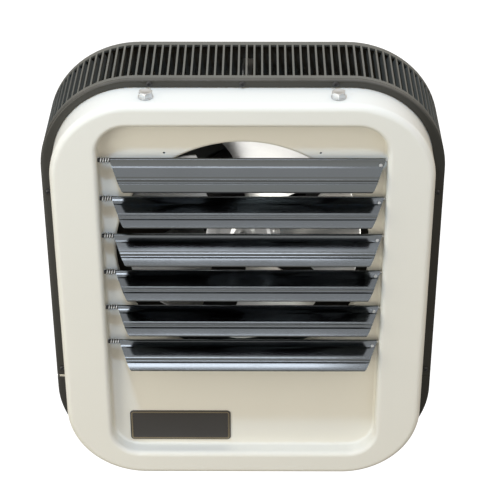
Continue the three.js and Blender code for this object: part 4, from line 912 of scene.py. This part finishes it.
def cover_form():
    """Flange, wall and end of the cover as a profile of radius and distance, turned. The angles repeat once
    for each slot, with a line at the slot's middle and one at each of its edges."""
    path = soft_corners([(COVER_FLANGE, SHEET), (COVER_RADIUS, SHEET), (COVER_RADIUS, COVER_LENGTH),
                         (0.02, COVER_LENGTH)], [0, 1.6, 12, 0], steps=10)
    wall = np.flatnonzero(np.isclose(path[:, 0], COVER_RADIUS))
    rows = np.stack([np.full(5, COVER_RADIUS), np.linspace(*VENT_ROWS, 5)], -1)
    flat_end = path[-1] + (path[-2] - path[-1]) * np.array([[0.6], [0.3]])
    path = np.concatenate([path[:wall[0] + 1], rows, path[wall[0] + 1:-1], flat_end, path[-1:]])
    slot = math.degrees(VENT_HALF_WIDTH / COVER_RADIUS)
    sector = np.array([0, 4.2, 8.4, 15 - slot, 15, 15 + slot, 21.6, 25.8])
    angle = np.radians((np.arange(VENTS)[:, None] * 360 / VENTS + sector).ravel())
    points, faces = skin(spun(path, angle))
    column = faces[:, 0] % len(angle) % len(sector)
    height = path[faces[:, 0] // len(angle), 1]
    radius = path[faces[:, 2] // len(angle), 0]
    in_rows = (height > VENT_ROWS[0] - 0.01) & (height < VENT_ROWS[1] - 0.01) & (radius > COVER_RADIUS - 1)
    slotted = in_rows & np.isin(column, (3, 4))
    return set_on(points, on_axis(COVER_FOOT), REARWARD), faces[~slotted]


lay("motor_cover_drawn", *cover_form(), bronze, "case", "bronze_paint", "motor_cover", sheet=SHEET,
    towards=REARWARD)

# %% [markdown]
# ## Rear panel
#
# The back of the case is a flat sheet with a lip turned forward inside the band. It is made as the front
# panel is: one bend carried round the case's outline, and a flat fill between that outline and the motor
# opening, round the holes of bolts and knockouts. Two knuckles roll from it towards the hinge pin, and each
# knockout is a disc that is still held in its hole.

# %% Rear panel
REAR, REAR_LIP, MOTOR_OPENING = 78.0, 71.8, 59.0
HANDS = ((-1, "left"), (1, "right"))
BOLT_X, REAR_BOLT_Z, BOLT_HOLE = 81.4, 150.0, 4.2
KNOCKOUT_X, KNOCKOUT_Z, KNOCKOUT_HOLE, KNOCKOUT_BACK = 45.0, -150.0, 11.0, 76.8
REAR_KNUCKLES, REAR_STRIP = (-75.0, 57.0), -4.7
HINGE_PIN_END = 75.0

rear_path = soft_corners([(1.5, REAR_LIP), (1.5, REAR), (6, REAR)], [0, 1.6, 0], steps=6)
rear_rings = rings_at(on_case(rear_path[:, 0]), rear_path[:, 1])
rear_holes = [((side * KNOCKOUT_X, KNOCKOUT_Z), KNOCKOUT_HOLE) for side, _ in HANDS]
rear_holes += [((side * BOLT_X, REAR_BOLT_Z), BOLT_HOLE) for side, _ in HANDS]
rear_fill = flat_between(rear_rings[-1], rings_at(on_circle([MOTOR_OPENING]), REAR)[0], rear_holes, REAR)
lay("rear_panel_sheet", *gathered([skin(rear_rings), rear_fill]), bronze, "case", "bronze_paint",
    "rear_panel", sheet=SHEET, towards=REARWARD)
rear_curls = [curl(left, REAR_STRIP, -1) for left in REAR_KNUCKLES]
lay("rear_hinge_knuckles", *gathered(rear_curls), bronze, "case", "bronze_paint")
coin = soft_corners([(0, 0), (10.7, 0), (10.7, 1.2), (9.4, 1.2), (8.6, 0.9), (0, 0.9)], 0.3, steps=3)
for side, hand in HANDS:
    disc = turned(coin, (side * KNOCKOUT_X, KNOCKOUT_BACK, KNOCKOUT_Z), REARWARD)
    lay(f"knockout_disc_{hand}", *disc, bronze, "case", "bronze_paint", f"knockout_{hand}")
pin_x = HINGE_PIN_END - np.array([0, 0.2, 0.6])
pin_x = np.concatenate([-pin_x, pin_x[::-1]])
pin_path = np.stack([pin_x, np.full(6, HINGE_Y), np.full(6, HINGE_Z)], -1)
lay("hinge_pin_round", *wire(pin_path, PIN_RADIUS - np.array([0.5, 0.2, 0, 0, 0.2, 0.5]), sides=20), zinc,
    "case", "zinc", "door_hinge_pin")

# %% [markdown]
# ## Bolts and screws
#
# A hexagon head is the part that a hexagonal prism and a cone have in common, so at each angle its radius is
# the smaller of the two, and the cone's edge makes the curved chamfer that a real head shows. A pan-headed
# screw is a dome that is lowered wherever two crossed slots pass. Both are height or radius functions on a
# polar grid.

# %% Bolts and screws
BOLT_APOTHEM, BOLT_SHANK, WASHER = 5.5, 3.9, 6.5
HEAD_HEIGHTS = np.array([0.9, 4.5, 4.9, 5.2, 5.45, 5.65, 5.8, 5.88, 5.9, 5.9, 5.75, 5.75])
CONE_RADII = np.array([9.0, 6.6, 6.3, 6.05, 5.85, 5.65, 5.45, 5.3, 5.1, 3.6, 3.3, 0.02])
FRONT_BOLT_DEPTH = -17.5
SCREW_HEAD, SCREW_RISE, SCREW_SHANK, SCREW_SEAT = 2.6, 1.6, 1.2, 0.3
CROSS_WIDTH, CROSS_REACH = 0.42, 1.55
TOP_SCREWS = (("left", -79.5), ("middle", 0), ("right", 79.5))


def hexagon_bolt(length, steps=96):
    """Radius at angle a and height h = min(apothem / cos(a folded to 60 degrees), cone radius at h)."""
    angle = full_turn(steps)
    folded = (angle + np.pi / 6) % (np.pi / 3) - np.pi / 6
    radius = np.minimum(BOLT_APOTHEM / np.cos(folded)[None], CONE_RADII[:, None])
    height = np.broadcast_to(HEAD_HEIGHTS[:, None, None], (*radius.shape, 1))
    head, faces = skin(np.concatenate([radius[..., None] * circle(angle)[None], height], -1))
    under = list(range(steps))[::-1]
    seat = soft_corners([(0, -length), (BOLT_SHANK, -length), (BOLT_SHANK, 0.3), (WASHER, 0.3), (WASHER, 1.5),
                         (0, 1.5)], [0, 0.6, 0.1, 0.35, 0.35, 0], steps=3)
    return gathered([(head, faces.tolist() + [under]), skin(spun(seat, full_turn(48)))])


def slot_depth(across, along):
    """One arm of the cross: 1 in the slot, falling to 0 over its flanks and at its end."""
    flank, end = (CROSS_WIDTH - np.abs(across)) / 0.16, (CROSS_REACH - np.abs(along)) / 0.3
    return np.clip(flank, 0, 1) * np.clip(end, 0, 1)


def pan_screw(length, steps=48):
    """Height = dome (1 - (r / R) ** 2.6) less a cross whose arms taper towards their ends."""
    r = np.concatenate([np.linspace(0.02, 0.94, 20), [0.98, 1.0]])[:, None] * SCREW_HEAD
    angle = full_turn(steps)
    x, y = r * np.cos(angle), r * np.sin(angle)
    dome = SCREW_RISE * (0.35 + 0.65 * np.maximum(0, 1 - (r / SCREW_HEAD) ** 2.6))
    cross = np.maximum(slot_depth(x, y), slot_depth(y, x)) * np.clip(1.3 - np.hypot(x, y) / 2.2, 0, 1)
    top = np.stack([x, y, SCREW_SEAT + dome - 0.8 * cross], -1)
    under = [(SCREW_HEAD, SCREW_SEAT), (SCREW_SHANK, SCREW_SEAT), (SCREW_SHANK, -length), (0.02, -length)]
    return skin(np.concatenate([top, spun(under, angle)]))


for side, hand in HANDS:
    for place, y, z, outward, length in (("front", FRONT_BOLT_DEPTH, PANEL_HEIGHT / 2, UP, 12),
                                         ("rear", REAR, REAR_BOLT_Z, REARWARD, 6)):
        points, faces = hexagon_bolt(length)
        lay(f"{place}_bolt_{hand}", set_on(points, (side * BOLT_X, y, z), outward), faces, zinc, "case",
            "zinc", f"hanger_bolt_{place}_{hand}", sharp=28)

SCREWS = {f"frame_screw_{hand}_{place}": ((side * 172.4, 0, z), FORWARD, 4)
          for side, hand in HANDS for place, z in (("upper", 97), ("lower", -97))}
SCREWS |= {f"frame_screw_top_{place}": ((x, 0, 202.99), FORWARD, 4) for place, x in TOP_SCREWS}
SCREWS |= {f"door_screw_{hand}": ((side * 60, 39, -CASE_HEIGHT / 2), DOWN, 5) for side, hand in HANDS}
SCREWS |= {f"cover_screw_{hand}": ((side * 69, 79.5, OUTLET_HEIGHT), REARWARD, 5) for side, hand in HANDS}
for name, (centre, outward, length) in SCREWS.items():
    points, faces = pan_screw(length)
    lay(f"{name}_head", set_on(points, centre, outward), faces, black_enamel,
        "door" if name.startswith("door") else "case", "black_enamel", name, sharp=40)

# %% [markdown]
# ## Plate
#
# The plate at the lower left is a thin sheet with a softened edge, dark, with a fine bronze line just inside
# its rim. It stays bare. The line is a real ring a twentieth of a millimetre high, because a printed line
# has that thickness and keeps its place from every side.

# %% Plate
PLATE_MIDDLE, PLATE_HALF, PLATE_CORNER = (-60.5, -150.6), (48.0, 17.3), 3.6
PLATE_BACK, PLATE_RISE, LINE_RISE = -18.3, 0.8, 0.06


def plate_ring(inset, steps=8):
    """The plate's outline, drawn in by an inset and moved to its place."""
    width, height = PLATE_HALF[0] - inset, PLATE_HALF[1] - inset
    corner = np.maximum(PLATE_CORNER - inset, 1.2)
    return rounded_outline(width, height, -height, corner, steps, 1) + PLATE_MIDDLE


plate_path = soft_corners([(0, 0), (0, -PLATE_RISE), (2, -PLATE_RISE)], [0, 0.35, 0], steps=4)
plate_form = capped(rings_at(plate_ring(plate_path[:, 0]), PLATE_BACK + plate_path[:, 1]))
lay("plate_field", *plate_form, badge_field, "case", "black_enamel", "name_plate", sharp=50)
for label, inset, width in (("outer", 1.25, 0.7), ("inner", 2.35, 0.18)):
    edge = inset + np.array([0.0, 0.0, width, width])
    rise = PLATE_RISE - 0.01 + np.array([0.0, LINE_RISE, LINE_RISE, 0.0])
    lay(f"plate_line_{label}", *skin(rings_at(plate_ring(edge), PLATE_BACK - rise), along=True), badge_line,
        "case", "black_enamel")

# %% [markdown]
# ## Finned elements
#
# Each heating element is a steel sheath bent into an arch, with a ribbon of steel wound round it as a
# spiral fin. The ribbon is a helicoid that follows the arch: its inner and outer edges lie at angle
# 2 pi s / pitch round the path at distance s. Where a clip holds the element, the ribbon's height falls to
# nothing.

# %% Finned elements
ELEMENT_DEPTHS = {"front": 17, "middle": 39, "rear": 61}
ELEMENT_SIDE, ELEMENT_TOP, ELEMENT_BEND, ELEMENT_FOOT = 150.0, 178.0, 70.0, -118.0
FIN_PITCH, FIN_RADIUS, FIN_SHEET, SHEATH, SUNK = 4.6, 9.6, 0.3, 4.0, 0.15
CLIP_SIDE, FIN_FOOT = 140.0, -96.0


def arch_path(depth, step=0.33):
    """Equal steps along the arch: leg, quarter circle, crown, quarter circle, leg."""
    leg = ELEMENT_TOP - ELEMENT_BEND - ELEMENT_FOOT
    curve = ELEMENT_BEND * np.pi / 2
    crown = 2 * (ELEMENT_SIDE - ELEMENT_BEND)
    total = 2 * leg + 2 * curve + crown
    s = np.linspace(0, total, int(total / step) + 1)
    half = np.minimum(s, total - s)
    angle = np.clip((half - leg) / ELEMENT_BEND, 0, np.pi / 2)
    x = ELEMENT_SIDE - ELEMENT_BEND * (1 - np.cos(angle)) - np.maximum(0, half - leg - curve)
    z = ELEMENT_FOOT + np.minimum(half, leg) + ELEMENT_BEND * np.sin(angle)
    return s, np.stack([np.where(s < total / 2, -x, x), np.full(len(s), float(depth)), z], -1)


def spiral_fin(depth):
    """Path + (cos(2 pi s / pitch) n + sin(2 pi s / pitch) b) * reach, with n to the rear and b square to it.
    The outer edge's reach falls from the fin's radius at 5 mm to the sheath's at 3 mm from the middle of a
    clip, which stands at the top and on each side, and from the ribbon's foot."""
    s, path = arch_path(depth)
    along = unit(np.gradient(path, axis=0))
    n = np.array(REARWARD) + 0 * along
    b = np.cross(along, n)
    phase = 2 * np.pi * s / FIN_PITCH
    direction = np.cos(phase)[:, None] * n + np.sin(phase)[:, None] * b
    off_middle = np.abs(path[:, 0])
    from_side_clip = np.where(off_middle < CLIP_SIDE, np.inf, np.abs(path[:, 2] - OUTLET_HEIGHT))
    clear = np.minimum(np.minimum(off_middle, from_side_clip), path[:, 2] - FIN_FOOT)
    reach = SHEATH + (FIN_RADIUS - SHEATH) * np.clip((clear - 3) / 2, 0, 1)
    edges = [path + direction * (SHEATH - SUNK), path + direction * reach[:, None]]
    return np.stack(edges, 1), grid_faces(len(s), 2)


for label, depth in ELEMENT_DEPTHS.items():
    lay(f"element_sheath_{label}", *wire(arch_path(depth, step=6.0)[1], SHEATH, sides=14), sheath, "case",
        "element_steel", f"heating_element_{label}", sharp=60)
    lay(f"element_fin_{label}", *spiral_fin(depth), sheath, "case", "element_steel", sheet=FIN_SHEET,
        sharp=60)

# %% [markdown]
# ## Pieces that keep their CAD form
#
# The slotted band, the shelf over the wiring, the bracket, the clips and the switch gear already have their
# real shape, so they stay and only take a finish. The band's finish is a lighter copy of the bronze enamel:
# its lighter colour is painted light.

# %% Pieces that keep their CAD form
KEPT = [
    (bronze_band_painted_light, ["intake_band"]),
    (galvanised, ["wiring_partition", "motor_bracket"]),
    (galvanised, ["element_clip_top", "element_clip_left", "element_clip_right"]),
    (black_plastic, ["contactor", "terminal_block", "fan_relay"]),
    (copper, ["transformer"]),
    (zinc, ["high_limit_thermostat"]),
]
for material, names in KEPT:
    for name in names:
        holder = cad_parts[name]
        if not holder.material_slots:
            holder.data.materials.append(material)
        for material_slot in holder.material_slots:
            material_slot.material = material
print(f"{sum(len(names) for _, names in KEPT)} CAD pieces kept")
